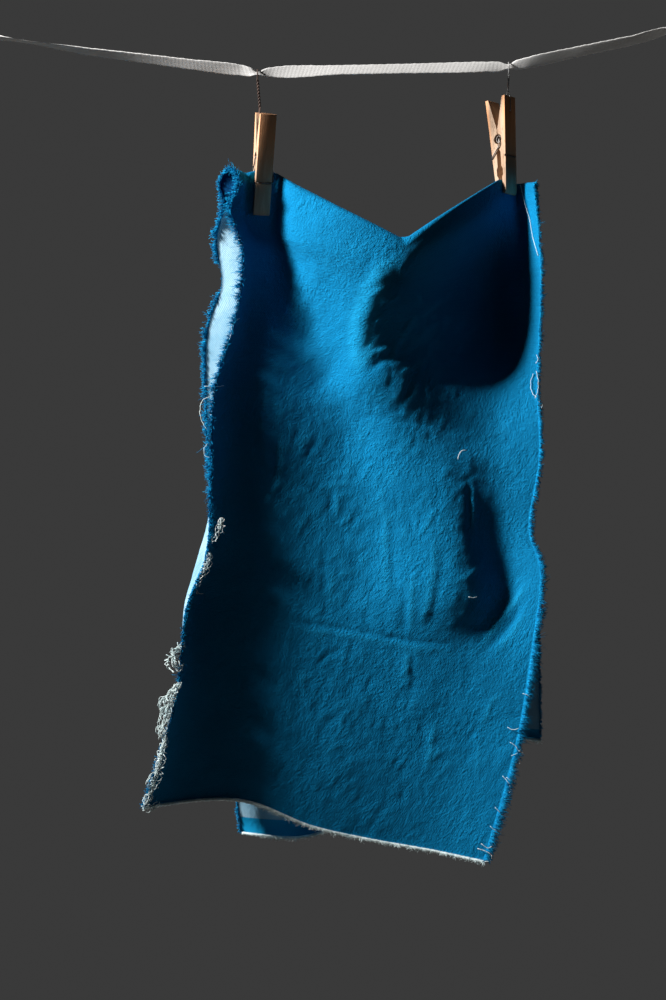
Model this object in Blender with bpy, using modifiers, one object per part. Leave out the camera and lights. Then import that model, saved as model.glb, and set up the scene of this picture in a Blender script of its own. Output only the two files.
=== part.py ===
"""A length of denim folded in two and hung on a cotton tape by two wooden clothespins.

Metres, +Z up. X runs to the right along the tape, Y away from the cloth's front.
The origin is the knot that ends the tape on the left. Tables are in millimetres.
"""

import math
import random

import bmesh
import bpy
import numpy as np
from mathutils import Matrix, Vector

MM = 0.001
GAP = 0.3  # left between pieces that touch, mm

CLOTH_THICK = 1.2
CLOTH_COLUMNS = 26
FRONT_ROWS = 36
BACK_ROWS = 24
FOLD_ROWS = 5

PIN_LENGTH = 80.5
PIN_WIDTH = 13.2
LAYER_OUT = 1.0  # from the pin's middle plane to the middle of each layer of cloth
JAW_GAP = LAYER_OUT + CLOTH_THICK / 2 + GAP + 0.11  # and to each jaw, with room for the cloth's bend
SPRING_AT = 46.0  # the coil's axis, measured from the jaw's tip
HANDLE_FROM = 54.0  # the legs part here
HANDLE_INSIDE = 7.4  # and end this far from the middle plane
WIRE = 1.3  # the springs' wire, across
COIL_RADIUS = 2.9  # to the middle of the wire
COIL_TURNS = 5.5
COIL_HALF = 5.6  # half the coil's length
NOTCH = 1.0  # depth and half height of the slot that an arm lies in

TAPE_THICK = 1.0

# A leg's inner face below the coil: distance from the middle plane, height above the tip. The
# hollow is the round grip for a line, and the legs meet just below the spring.
LEG_INSIDE = (
    ("jaw tip", JAW_GAP, 1.2),
    ("jaw", JAW_GAP, 14),
    ("hollow starts", JAW_GAP + 1.2, 16),
    ("hollow ends", JAW_GAP + 1.2, 21),
    ("throat", JAW_GAP, 23),
    ("throat ends", JAW_GAP, 35),
    ("legs meet", GAP / 2, 38.5),
)
TIP_OUTER, END_OUTER = 5.0, 10.4  # the outer face's distance from the middle plane at either end

# Each row is a line across the front layer, from the fold down to the hem. bend is the point
# where the left margin turns, turn goes on from there to the cut edge, slack is halfway from the
# valley at the left pin to the ridge in the middle, and side is the right edge.
COLUMNS = ("bend", "turn", "valley", "slack", "ridge", "dip", "side")
FRONT = (
    ("fold", (208, -8, -120), (-4, -4, -1), (222, -1, -110), (250, -15, -126),
     (334, -44, -174), (419, 22, -116), (440, 8, -119)),
    ("pinch", (201, -6, -135), (-4, -3, 0), (222, 3, -146), (250, -15, -157),
     (331, -44, -188), (419, 23, -134), (441, -2, -138)),
    ("shoulder", (210, -9, -173), (-3, -4, 0), (232, 6, -175), (268, -24, -188),
     (315, -44, -207), (412, 24, -184), (443, -19, -187)),
    ("slope", (204, -11, -229), (-3, -4, 0), (228, -5, -231), (257, -1, -236),
     (303, -33, -240), (414, 12, -248), (441, -24, -251)),
    ("shelf", (195, -17, -262), (-4, -5, 0), (228, -9, -264), (274, -4, -270),
     (300, -26, -276), (412, -11, -286), (440, -24, -288)),
    ("press", (189, -23, -288), (-4, -6, 0), (228, -13, -292), (285, -7, -300),
     (322, -21, -308), (412, -15, -320), (442, -24, -328)),
    ("neck", (187, -28, -355), (-4, -5, 0), (226, -18, -360), (290, -12, -368),
     (377, -23, -384), (408, -13, -391), (434, -18, -393)),
    ("curl", (173, -33, -418), (5, -4, 0), (220, -21, -424), (290, -15, -436),
     (389, -26, -448), (411, -16, -446), (442, -29, -437)),
    ("crossing", (163, -36, -452), (2, -5, 0), (216, -23, -461), (290, -17, -476),
     (366, -20, -486), (400, -20, -490), (434, -28, -499)),
    ("flange", (159, -37, -526), (-3, -6, 0), (212, -24, -536), (286, -18, -550),
     (340, -15, -559), (390, -16, -567), (422, -22, -570)),
    ("hem", (135, -45, -610), (-4, -6, 0), (209, -25, -608), (262, -20, -629),
     (312, -14, -641), (356, -12, -649), (398, -18, -657)),
)
BACK = (
    ("fold", (197, 4, -119), (-9, 2, -1), (222, 1, -110), (278, -17, -142),
     (334, -34, -174), (419, 24, -116), (443, 19, -119)),
    ("pinch", (197, 1, -135), (-6, -2, 0), (222, 5, -146), (276, -16, -166),
     (331, -36, -186), (419, 26, -133), (444, 18, -138)),
    ("shoulder", (203, 4, -163), (-18, 8, 0), (232, 12, -170), (278, -9, -184),
     (322, -31, -198), (416, 32, -174), (442, 16, -178)),
    ("dent", (203, 5, -198), (-14, 7, 0), (238, 14, -202), (278, -4, -211),
     (316, -25, -218), (417, 36, -208), (441, 18, -210)),
    ("slope", (200, 5, -228), (-21, 8, 0), (240, 16, -232), (278, 5, -235),
     (311, -18, -236), (418, 34, -241), (440, 20, -242)),
    ("press", (197, 4, -287), (-20, 4, 0), (230, 20, -290), (280, 10, -293),
     (326, -6, -296), (421, 34, -300), (440, 18, -306)),
    ("neck", (197, 6, -356), (-17, 3, 0), (234, 28, -358), (293, 16, -362),
     (352, 2, -366), (414, 38, -382), (434, 18, -390)),
    ("sway", (205, 8, -468), (-15, 4, 0), (244, 36, -466), (295, 20, -464),
     (346, 4, -462), (408, 46, -460), (443, 22, -460)),
    ("low", (208, 10, -564), (-14, 3, 0), (248, 37, -562), (295, 22, -554),
     (342, 6, -545), (406, 46, -525), (446, 26, -517)),
    ("hem", (215, 13, -640), (-10, 2, 1), (256, 36, -645), (298, 25, -628),
     (340, 10, -606), (410, 44, -564), (447, 30, -566)),
)
# How far the fold rises over the first rows, at the edge and the same six places.
FOLD_RISE = {"edge": 13.5, "bend": 12.0, "valley": 1.6, "slack": 3.6, "ridge": 6.2, "dip": 2.8, "side": 3.5}
# These rows hang in a sharp V between the pins, and run straight through the jaws.
HELD_ROWS = ("fold", "pinch")
HELD_PLACES = {"valley": "left", "dip": "right"}

# tip is the middle of the jaws' end, turn the swing about the vertical, forward the lean of the
# handles towards the front, lean the lean to the right, and slot the place of the spring's arms.
PINS = {
    "left": {"tip": (220.0, 6, -142.5), "turn": 14, "forward": 12, "lean": 0.8, "slot": 26.0, "tied": "rear"},
    "right": {"tip": (419.2, 22, -124.5), "turn": 44, "forward": -8, "lean": 3.2, "slot": 31.0, "tied": "front"},
}
HOLD_REACH = 9.0  # a held row runs straight this far either side of a pin's middle
HOLD_SIDE = 4.0  # the cloth stays flat this far beyond a jaw
HOLD_FADE = 6.0  # and takes up its own folds again over this much more

# Along the tape: place, width seen flat, thickness and turn about its length in degrees.
TAPE = (
    ((5.2, 0, -0.4), 4.0, 2.2, 60),
    ((14, 0, -1.8), 8.0, 1.0, 76),
    ((82, -3, -12.9), 9.0, 1.0, 62),
    ((123, -5, -18.4), 9.0, 1.0, 48),
    ((164, -7, -24.0), 9.0, 1.0, 36),
    ((206, -9, -29.2), 8.6, 1.0, 26),
    ((213.5, -10, -31.0), 6.4, 1.6, 18),
    ((216.8, -10, -32.0), 3.0, 2.2, 0),
    ((220.0, -10, -32.0), 3.0, 2.2, 0),
    ((223.4, -9.5, -31.4), 6.2, 1.6, -10),
    ((230, -8, -30.6), 8.6, 1.0, -14),
    ((284, 0, -27.2), 9.6, 1.0, -28),
    ((340, 9, -24.4), 9.6, 1.0, -26),
    ((400, 17.5, -21.4), 9.4, 1.0, -18),
    ((415.5, 19.5, -21.0), 7.0, 1.6, -4),
    ((419.2, 20, -20.8), 4.2, 2.4, 0),
    ((421.8, 20, -20.6), 4.2, 2.4, 0),
    ((425.5, 20, -19.8), 6.8, 1.6, 14),
    ((436, 19, -17.6), 9.0, 1.0, 26),
    ((480, 15, -8.6), 9.0, 1.0, 34),
    ((520, 12, -1.0), 9.0, 1.0, 40),
    ((543, 10.5, 5.4), 8.0, 1.0, 44),
    ((551.8, 9.8, 7.9), 4.0, 2.2, 44),
)
TAPE_STEP = 9.0
LEFT_KNOT = (0, 0, 0)
RIGHT_KNOT = (557, 9.5, 9.4)
KNOT_RADIUS = 6.6
KNOT_SEAT = 4.7  # the knot is flat where the tape comes out, this far from its middle

# at is the place along the tape, loop the half height and half depth of the loop round it, aside
# how far the hole lies from the middle of the leg, and hole its width.
TIES = {
    "left": {"at": (218.4, -10, -32.0), "loop": (3.2, 2.9), "strand": 1.3, "turns": 4, "aside": -3.4, "hole": 3.0},
    "right": {"at": (420.5, 20, -20.7), "loop": (3.7, 3.1), "strand": 0.9, "turns": 5, "aside": 0, "hole": 2.4},
}
HOLE_AT = 12.5  # from the handle's end

# Tufts of loose weft that hang on the left edge: height, length, distance out, thickness at the root.
TUFTS = (
    ("wisp", -228, 16, 2.0, 1.0),
    ("loop", -290, 18, 3.5, 1.2),
    ("knotted", -384, 14, 2.5, 2.4),
    ("rope", -412, 22, 2.5, 2.8),
    ("tangle", -484, 17, 5.5, 4.0),
    ("bundle", -522, 34, 8.0, 4.4),
    ("long", -552, 52, 3.5, 3.6),
)
FRAY_GAP = 0.45  # between the cut edge and its backing strip
FRAY_ROOT = 1.0  # width of the backing strip beside the cut edge
FRAY_THICK = 0.9
FRAY_SHORT, FRAY_LONG = 1.0, 2.6  # the warp ends' lengths

COLOURS = {
    "denim": ((0.02, 0.17, 0.32), 0.9, 0.0),
    "fray": ((0.05, 0.30, 0.48), 0.95, 0.0),
    "cotton": ((0.80, 0.78, 0.74), 0.9, 0.0),
    "brown wire": ((0.10, 0.05, 0.035), 0.6, 0.0),
    "grey wire": ((0.42, 0.42, 0.42), 0.45, 0.6),
    "beech": ((0.62, 0.43, 0.26), 0.7, 0.0),
    "spring steel": ((0.28, 0.26, 0.24), 0.4, 0.9),
}


def clear_scene():
    for obj in list(bpy.data.objects):
        bpy.data.objects.remove(obj, do_unlink=True)


def collection(name, hidden=False):
    made = bpy.data.collections.new(name)
    bpy.context.scene.collection.children.link(made)
    made.hide_render = hidden
    return made


def material(name):
    colour, roughness, metallic = COLOURS[name]
    found = bpy.data.materials.get(name)
    if found:
        return found
    made = bpy.data.materials.new(name)
    made.use_nodes = True
    shader = made.node_tree.nodes["Principled BSDF"]
    shader.inputs["Base Color"].default_value = (*colour, 1)
    shader.inputs["Roughness"].default_value = roughness
    shader.inputs["Metallic"].default_value = metallic
    return made


def object_from(name, points, faces, finish, home):
    """A mesh object from points in millimetres."""
    mesh = bpy.data.meshes.new(name)
    mesh.from_pydata([tuple(float(c) * MM for c in point) for point in points], [], faces)
    mesh.materials.append(material(finish))
    made = bpy.data.objects.new(name, mesh)
    home.objects.link(made)
    return made


def face_outwards(made):
    shape = bmesh.new()
    shape.from_mesh(made.data)
    bmesh.ops.recalc_face_normals(shape, faces=shape.faces)
    shape.to_mesh(made.data)
    shape.free()


def smooth_through(knots, values, at):
    """Values at the places `at` on the smooth curve through the knots' values."""
    knots, values, at = (np.asarray(part, float) for part in (knots, values, at))
    steps = np.diff(knots)
    slopes = np.diff(values, axis=0) / steps.reshape(-1, *[1] * (values.ndim - 1))
    tangents = np.empty_like(values)
    tangents[0], tangents[-1] = slopes[0], slopes[-1]
    share = (steps[:-1] / (steps[:-1] + steps[1:])).reshape(-1, *[1] * (values.ndim - 1))
    tangents[1:-1] = slopes[:-1] * (1 - share) + slopes[1:] * share
    piece = np.clip(np.searchsorted(knots, at, side="right") - 1, 0, len(steps) - 1)
    span = steps[piece]
    t = (at - knots[piece]) / span
    shape = (-1, *[1] * (values.ndim - 1))
    t, span = t.reshape(shape), span.reshape(shape)
    return (
        values[piece] * (2 * t**3 - 3 * t**2 + 1)
        + tangents[piece] * span * (t**3 - 2 * t**2 + t)
        + values[piece + 1] * (3 * t**2 - 2 * t**3)
        + tangents[piece + 1] * span * (t**3 - t**2)
    )


def running_length(points):
    return np.concatenate([[0], np.cumsum(np.linalg.norm(np.diff(points, axis=0), axis=1))])


def held_at(pin, side, height):
    """Where one layer of cloth passes between a pin's jaws at this height."""
    width, front, length = pin_axes(pin)
    foot = np.array(pin["tip"], float) + side * LAYER_OUT * front
    middle = foot + length * (height - foot[2]) / length[2]
    return [middle - width * HOLD_REACH, middle, middle + width * HOLD_REACH]


def section_line(row, side, shares):
    """One row of the table as points at these shares of its length, with the fold's rise as a
    fourth column. side is 1 for the front layer, -1 for the back."""
    name, *places = row
    place = dict(zip(COLUMNS, (np.array(point, float) for point in places)))
    place["edge"] = place["bend"] + place.pop("turn")
    nodes = []
    for column, rise in FOLD_RISE.items():
        stops = [place[column]]
        if name in HELD_ROWS and column in HELD_PLACES:
            stops = held_at(PINS[HELD_PLACES[column]], side, place[column][2])
        nodes += [(*stop, rise) for stop in stops]
    nodes = np.array(nodes)
    along = running_length(nodes[:, :3])
    dense = np.linspace(0, along[-1], 400)
    line = smooth_through(along, nodes, dense)
    if name in HELD_ROWS:
        line[:, 2] = np.interp(line[:, 0], nodes[:, 0], nodes[:, 2])
    line[:, 3] = np.interp(dense, along, nodes[:, 3])
    length = running_length(line[:, :3])
    return np.column_stack([np.interp(shares * length[-1], length, column) for column in line.T])


def layer(table, side, shares, count):
    """A grid of points, rows from the fold to the hem by columns from left to right."""
    rows = np.array([section_line(row, side, shares) for row in table])
    drop = np.linalg.norm(np.diff(rows[:, :, :3], axis=0), axis=2).mean(axis=1)
    down = np.concatenate([[0], np.cumsum(drop)])
    at = down[-1] * np.linspace(0, 1, count + 1) ** 1.2
    return smooth_through(down, rows, at)


def pin_axes(pin):
    """The pin's width, front and length directions, as rows of a matrix."""
    turn, forward, lean = (math.radians(pin[key]) for key in ("turn", "forward", "lean"))
    turned = Matrix.Rotation(turn, 3, "Z") @ Matrix.Rotation(lean, 3, "Y") @ Matrix.Rotation(forward, 3, "X")
    return np.array([turned @ Vector(way) for way in ((1, 0, 0), (0, -1, 0), (0, 0, 1))])


def eased(distance):
    t = np.clip(1 - distance / HOLD_FADE, 0, 1)
    return t * t * (3 - 2 * t)


def clamp_to_pins(grid, side):
    """Presses the points between a pin's jaws flat. side is 1 for the front layer, -1 for the back."""
    for pin in PINS.values():
        local = (grid[..., :3] - np.array(pin["tip"], float)) @ pin_axes(pin).T
        beside = np.maximum(np.abs(local[..., 0]) - PIN_WIDTH / 2 - HOLD_SIDE, 0)
        below = np.maximum(-local[..., 2] - HOLD_SIDE, 0)
        away = np.maximum(np.abs(local[..., 1]) - LAYER_OUT - HOLD_SIDE, 0)
        weight = eased(np.sqrt(beside**2 + below**2 + away**2))
        shift = weight * (side * LAYER_OUT - local[..., 1])
        grid[..., :3] += shift[..., None] * pin_axes(pin)[1]
    return grid


def cloth_grid():
    """The whole sheet's middle surface: up the front, over the fold and down the back."""
    even = np.linspace(0, 1, CLOTH_COLUMNS + 1)
    shares = even - 0.5 * np.sin(2 * math.pi * even) / (2 * math.pi)
    front = clamp_to_pins(layer(FRONT, 1, shares, FRONT_ROWS), 1)
    back = clamp_to_pins(layer(BACK, -1, shares, BACK_ROWS), -1)
    middle, reach = (front[0] + back[0]) / 2, (front[0] - back[0]) / 2
    fold = []
    for step in range(1, FOLD_ROWS):
        angle = math.pi * step / FOLD_ROWS
        over = middle[:, :3] + reach[:, :3] * math.cos(angle)
        over[:, 2] += front[0][:, 3] * math.sin(angle)
        fold.append(over)
    return np.concatenate([front[::-1, :, :3], np.array(fold), back[:, :, :3]])


def grid_faces(rows, columns):
    return [
        (i * columns + j, i * columns + j + 1, (i + 1) * columns + j + 1, (i + 1) * columns + j)
        for i in range(rows - 1)
        for j in range(columns - 1)
    ]


def add_cloth(grid, home):
    rows, columns = grid.shape[:2]
    made = object_from("denim_cloth", grid.reshape(-1, 3), grid_faces(rows, columns), "denim", home)
    thicken = made.modifiers.new("cloth thickness", "SOLIDIFY")
    thicken.thickness = CLOTH_THICK * MM
    thicken.offset = 0
    made.data.shade_smooth()
    return made


def unit(vectors):
    return vectors / np.linalg.norm(vectors, axis=-1, keepdims=True)


def add_fray(name, edge, inner, tufts, home):
    """A jagged strip along a cut edge: a backing beside the cloth, warp ends, and loose tufts."""
    chance = random.Random(name)
    halfway = (edge[:-1] + edge[1:]) / 2
    inner_halfway = (inner[:-1] + inner[1:]) / 2
    line = np.empty((len(edge) * 2 - 1, 3))
    line[::2], line[1::2] = edge, halfway
    inside = np.empty_like(line)
    inside[::2], inside[1::2] = inner, inner_halfway
    out = unit(line - inside)
    along = unit(np.gradient(line, axis=0))
    out = unit(out - (out * along).sum(axis=1, keepdims=True) * along)
    across = np.cross(along, out)
    points = []
    for place, way, side in zip(line, out, across):
        for far, half in ((FRAY_GAP, -1), (FRAY_GAP, 1), (FRAY_GAP + FRAY_ROOT, 1), (FRAY_GAP + FRAY_ROOT, -1)):
            points.append(place + way * far + side * half * FRAY_THICK / 2)
    faces = [(0, 1, 2, 3), tuple(4 * (len(line) - 1) + k for k in (3, 2, 1, 0))]
    rooted = {
        int(np.argmin(np.abs(line[: FRONT_ROWS * 2, 2] - height))): sizes for _, height, *sizes in tufts
    }
    front = slice(0, FRONT_ROWS * 2)
    hang_line = np.column_stack([line, out])[front]
    for k in range(len(line) - 1):
        base = 4 * k
        for a, b in ((0, 1), (1, 2), (3, 0)):
            faces.append((base + a, base + 4 + a, base + 4 + b, base + b))
        ring = [base + 2, base + 6, base + 7, base + 3]
        if k in rooted:
            length, distance, thick = rooted[k]
            start = line[k][2]
            steps = max(4, round(length / 6))
            for step in range(1, steps):
                part = step / steps
                away = FRAY_GAP + FRAY_ROOT + distance * math.sin(min(1, part * 3) * math.pi / 2)
                sway = 0.8 * math.sin(part * 9 + length)
                beside = [np.interp(start - part * length, hang_line[:, 2], column) for column in hang_line.T]
                middle = np.array(beside[:3]) + np.array(beside[3:]) * (away + sway)
                half = thick / 2 * (1 - 0.7 * part) * (1 + 0.25 * math.sin(part * 17))
                corners = len(points)
                for turn, reach in ((out[k], half), (across[k], half), (-out[k], half), (-across[k], half)):
                    points.append(middle + turn * reach)
                fresh = [corners + 1, corners, corners + 3, corners + 2]
                faces += [(ring[i], ring[(i + 1) % 4], fresh[(i + 1) % 4], fresh[i]) for i in range(4)]
                ring = fresh
            points.append(middle + np.array((0, 0, -length / steps)))
        else:
            reach = FRAY_GAP + FRAY_ROOT + chance.uniform(FRAY_SHORT, FRAY_LONG)
            slant = chance.uniform(-0.5, 0.5)
            points.append(line[k] * (0.5 - slant) + line[k + 1] * (0.5 + slant) + out[k] * reach)
        faces += [(ring[i], ring[(i + 1) % 4], len(points) - 1) for i in range(4)]
    made = object_from(name, points, faces, "fray", home)
    face_outwards(made)
    return made


def tube(name, points, thick, finish, home, closed=False, sides=1):
    """A round wire through these points, in millimetres."""
    curve = bpy.data.curves.new(name, "CURVE")
    curve.dimensions = "3D"
    curve.bevel_depth = thick / 2 * MM
    curve.bevel_resolution = sides
    curve.use_fill_caps = not closed
    line = curve.splines.new("POLY")
    line.points.add(len(points) - 1)
    for spot, point in zip(line.points, points):
        spot.co = (*(float(c) * MM for c in point), 1)
    line.use_cyclic_u = closed
    curve.materials.append(material(finish))
    made = bpy.data.objects.new(name, curve)
    home.objects.link(made)
    return made


def arc(centre, radius, start, end, count):
    angles = (math.radians(start + (end - start) * k / count) for k in range(count + 1))
    return [(centre[0] + radius * math.cos(a), centre[1] + radius * math.sin(a)) for a in angles]


def outer_face(s):
    """How far a leg's outer face lies from the pin's middle plane, s from the tip."""
    return TIP_OUTER + (END_OUTER - TIP_OUTER) * s / PIN_LENGTH


def inner_face(s):
    """The same for its inner face, along the handle."""
    return GAP / 2 + (HANDLE_INSIDE - GAP / 2) * (s - HANDLE_FROM) / (PIN_LENGTH - HANDLE_FROM)


def leg_outline(slot):
    """The leg seen from the side: distance from the middle plane against height above the tip."""
    inside = [(n, s) for _, n, s in LEG_INSIDE]
    groove = COIL_RADIUS + WIRE / 2 + GAP + 0.15
    coil = [(n, s) for n, s in arc((0, SPRING_AT), groove, -84, 84, 8) if n > GAP / 2]
    handle = [(GAP / 2, HANDLE_FROM), (HANDLE_INSIDE, PIN_LENGTH), (outer_face(PIN_LENGTH), PIN_LENGTH)]
    side = [
        (outer_face(slot), slot + NOTCH),
        (outer_face(slot) - NOTCH, slot + NOTCH),
        (outer_face(slot) - NOTCH, slot - NOTCH),
        (outer_face(slot), slot - NOTCH),
        (TIP_OUTER, 2.2),
        (TIP_OUTER - 0.9, 0.5),
        (TIP_OUTER - 2.0, 0),
        (JAW_GAP + 0.8, 0),
    ]
    return inside + coil + handle + side


def pin_matrix(pin):
    """From the pin's own width, front and length axes to the scene's."""
    axes = pin_axes(pin)
    placed = Matrix([[*axes[:, row], 0] for row in range(3)] + [[0, 0, 0, 1]])
    return Matrix.Translation(Vector(pin["tip"]) * MM) @ placed


def add_leg(name, pin, side, home, cutters, hole, aside):
    """One wooden leg. side is 1 for the front leg and -1 for the rear one."""
    outline = [(side * n, s) for n, s in leg_outline(pin["slot"])]
    count = len(outline)
    half = PIN_WIDTH / 2
    points = [(-half, n, s) for n, s in outline] + [(half, n, s) for n, s in outline]
    faces = [tuple(range(count)), tuple(range(2 * count - 1, count - 1, -1))]
    faces += [(k, k + count, (k + 1) % count + count, (k + 1) % count) for k in range(count)]
    made = object_from(name, points, faces, "beech", home)
    face_outwards(made)
    made.matrix_world = pin_matrix(pin)
    if hole:
        bpy.ops.mesh.primitive_cylinder_add(vertices=12, radius=hole / 2 * MM, depth=16 * MM)
        drill = bpy.context.active_object
        drill.name = f"{name}_drill"
        drill.data.transform(Matrix.Rotation(math.radians(90), 4, "X"))
        drill.data.transform(Matrix.Translation(Vector((aside, side * 6.5, PIN_LENGTH - HOLE_AT)) * MM))
        drill.matrix_world = pin_matrix(pin)
        for owner in list(drill.users_collection):
            owner.objects.unlink(drill)
        cutters.objects.link(drill)
        drill.hide_render = True
        drill.display_type = "WIRE"
        cut = made.modifiers.new("tie hole", "BOOLEAN")
        cut.object = drill
        cut.operation = "DIFFERENCE"
        cut.solver = "EXACT"
    return made


def add_spring(name, pin, home):
    """A wire coil between the legs, with an arm round each leg into its outer slot."""
    radius = COIL_RADIUS
    reach = PIN_WIDTH / 2 + GAP + 0.1 + WIRE / 2
    per_turn = 10
    steps = int(COIL_TURNS * per_turn)
    slot = pin["slot"]
    out = outer_face(slot) - NOTCH + GAP + 0.1 + WIRE / 2
    coil = []
    for k in range(steps + 1):
        angle = 2 * math.pi * k / per_turn
        width = COIL_HALF * (2 * k / steps - 1)
        coil.append((width, radius * math.cos(angle), SPRING_AT + radius * math.sin(angle)))
    rear_arm = [
        (reach - 1.2, -out, slot),
        (-reach + 0.6, -out, slot),
        (-reach, -out + 0.9, slot + 0.6),
        (-reach, -3.8, SPRING_AT - 11.5),
        (-reach, 2.4, SPRING_AT - 6),
        (-reach, 2.8, SPRING_AT - 3),
        (-reach, radius * 0.55, SPRING_AT),
    ]
    front_arm = [(-width, -front, height) for width, front, height in reversed(rear_arm)]
    local = rear_arm + coil + front_arm
    placed = [pin_matrix(pin) @ (Vector(point) * MM) / MM for point in local]
    return tube(name, placed, WIRE, "spring steel", home)


def add_tie(name, tie, pin, finish, home):
    """A closed loop of wire: round the tape, twisted down to the pin, and through the leg's hole."""
    strand = tie["strand"]
    half = strand / 2 + 0.12
    face = 1 if pin["tied"] == "front" else -1
    clear = strand / 2 + GAP
    hole_height = PIN_LENGTH - HOLE_AT
    turn_height = hole_height + 1.25 * clear
    end = (outer_face(PIN_LENGTH) + HANDLE_INSIDE) / 2
    eye = [
        (end + half, PIN_LENGTH + 4),
        (outer_face(PIN_LENGTH) + clear, PIN_LENGTH + 0.2),
        (outer_face(turn_height) + clear, turn_height),
        (outer_face(hole_height) + clear / 3, hole_height + clear / 10),
        (inner_face(hole_height) - clear / 3, hole_height + clear / 10),
        (inner_face(turn_height) - clear * 1.05, turn_height),
        (HANDLE_INSIDE - clear, PIN_LENGTH + 0.2),
        (end - half, PIN_LENGTH + 4),
    ]
    eye = [(tie["aside"], face * n, s) for n, s in eye]
    eye = [np.array(pin_matrix(pin) @ (Vector(point) * MM)) / MM for point in eye]
    bottom = (eye[0] + eye[-1]) / 2
    top = np.array(tie["at"], float)
    high, deep = tie["loop"]
    ring = [
        top + np.array((0, -deep * math.sin(a), high * -math.cos(a)))
        for a in (math.radians(36 + 36 * k) for k in range(9))
    ]
    top = top - np.array((0, 0, high + 1.6))
    along = unit(top - bottom)
    first = unit(eye[0] - eye[-1])
    first = unit(first - first.dot(along) * along)
    second = np.cross(along, first)
    front = np.array((0.0, -1.0, 0.0))
    front = unit(front - front.dot(along) * along)
    twist = 2 * math.pi * tie["turns"] + math.atan2(front.dot(second), front.dot(first))
    count = tie["turns"] * 6 + 2
    helix = []
    for k in range(1, count + 1):
        angle = twist * k / count
        helix.append((bottom + (top - bottom) * k / count, first * math.cos(angle) + second * math.sin(angle)))
    up = [place + way * half for place, way in helix]
    down = [place - way * half for place, way in reversed(helix)]
    return tube(name, up + ring + down + eye[::-1], strand, finish, home, closed=True)


def add_tape(home):
    """The flat tape, lofted through its stations, gathered where a tie cinches it."""
    places = np.array([row[0] for row in TAPE], float)
    sizes = np.array([row[1:] for row in TAPE], float)
    along = np.concatenate([[0], np.cumsum(np.linalg.norm(np.diff(places, axis=0), axis=1))])
    stops = set(along)
    for start, end in zip(along[:-1], along[1:]):
        parts = max(1, round((end - start) / TAPE_STEP))
        stops |= {start + (end - start) * k / parts for k in range(parts)}
    stops = np.array(sorted(stops))
    line = np.column_stack([np.interp(stops, along, column) for column in places.T])
    wide, thick, turn = (np.interp(stops, along, column) for column in sizes.T)
    ahead = unit(np.gradient(line, axis=0))
    up = np.array((0, 0, 1.0)) - ahead[:, 2:] * ahead
    up = unit(up)
    face = np.cross(ahead, up)
    points = []
    for k in range(len(stops)):
        angle = math.radians(turn[k])
        width_way = up[k] * math.cos(angle) + face[k] * math.sin(angle)
        thick_way = face[k] * math.cos(angle) - up[k] * math.sin(angle)
        for a, b in ((-1, -1), (1, -1), (1, 1), (-1, 1)):
            points.append(line[k] + width_way * a * wide[k] / 2 + thick_way * b * thick[k] / 2)
    last = 4 * (len(stops) - 1)
    faces = [(0, 1, 2, 3), (last + 3, last + 2, last + 1, last)]
    for base in range(0, last, 4):
        faces += [(base + i, base + 4 + i, base + 4 + (i + 1) % 4, base + (i + 1) % 4) for i in range(4)]
    made = object_from("line_tape", points, faces, "cotton", home)
    face_outwards(made)
    return made


def add_knot(name, centre, tape_side, home):
    """A hard overhand knot in the tape: a lump with two crossing bands standing out of it.
    tape_side is 1 where the tape comes out on its right, -1 on its left."""
    bpy.ops.mesh.primitive_uv_sphere_add(segments=16, ring_count=9, radius=KNOT_RADIUS * MM)
    made = bpy.context.active_object
    made.name = name
    for owner in list(made.users_collection):
        owner.objects.unlink(made)
    home.objects.link(made)
    for corner in made.data.vertices:
        way = corner.co.normalized()
        band = 0.10 * math.cos(4 * math.atan2(way.z + 0.5 * way.x, way.y)) + 0.05 * math.sin(7 * way.x + 3 * way.z)
        corner.co = corner.co * (0.9 + band)
        corner.co.x *= 0.85
        if corner.co.x * tape_side > KNOT_SEAT * MM:
            corner.co.x = KNOT_SEAT * MM * tape_side
    made.data.transform(Matrix.Translation(Vector(centre) * MM))
    made.data.materials.append(material("cotton"))
    made.data.shade_smooth()
    return made


def build():
    clear_scene()
    home = collection("hung denim")
    cutters = collection("cutters", hidden=True)
    grid = cloth_grid()
    add_cloth(grid, home)
    add_fray("fray_left", grid[:, 0], grid[:, 1], TUFTS, home)
    add_fray("fray_right", grid[:, -1], grid[:, -2], (), home)
    add_tape(home)
    add_knot("line_knot_left", LEFT_KNOT, 1, home)
    add_knot("line_knot_right", RIGHT_KNOT, -1, home)
    for side, pin in PINS.items():
        tie = TIES[side]
        for which, way in (("front", 1), ("rear", -1)):
            hole = tie["hole"] if pin["tied"] == which else 0
            add_leg(f"pin_{side}_{which}", pin, way, home, cutters, hole, tie["aside"])
        add_spring(f"pin_{side}_spring", pin, home)
        add_tie(f"tie_{side}", tie, pin, "brown wire" if side == "left" else "grey wire", home)


build()
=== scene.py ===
# %% [markdown]
# # A length of denim pegged to a tape
#
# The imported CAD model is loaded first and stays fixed. It holds the true shape in which the cloth
# hangs. Everything made here lies on that shape and only adds what a plain solid can't show: the
# weave, the crushed creases, the frayed edges, the grain of the wood.
#
# Sizes are in millimetres, as a maker would measure them, and turn into metres where a mesh is made.

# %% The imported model
import math

import bpy
import numpy as np
from mathutils import Matrix, Vector, kdtree, noise


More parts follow.
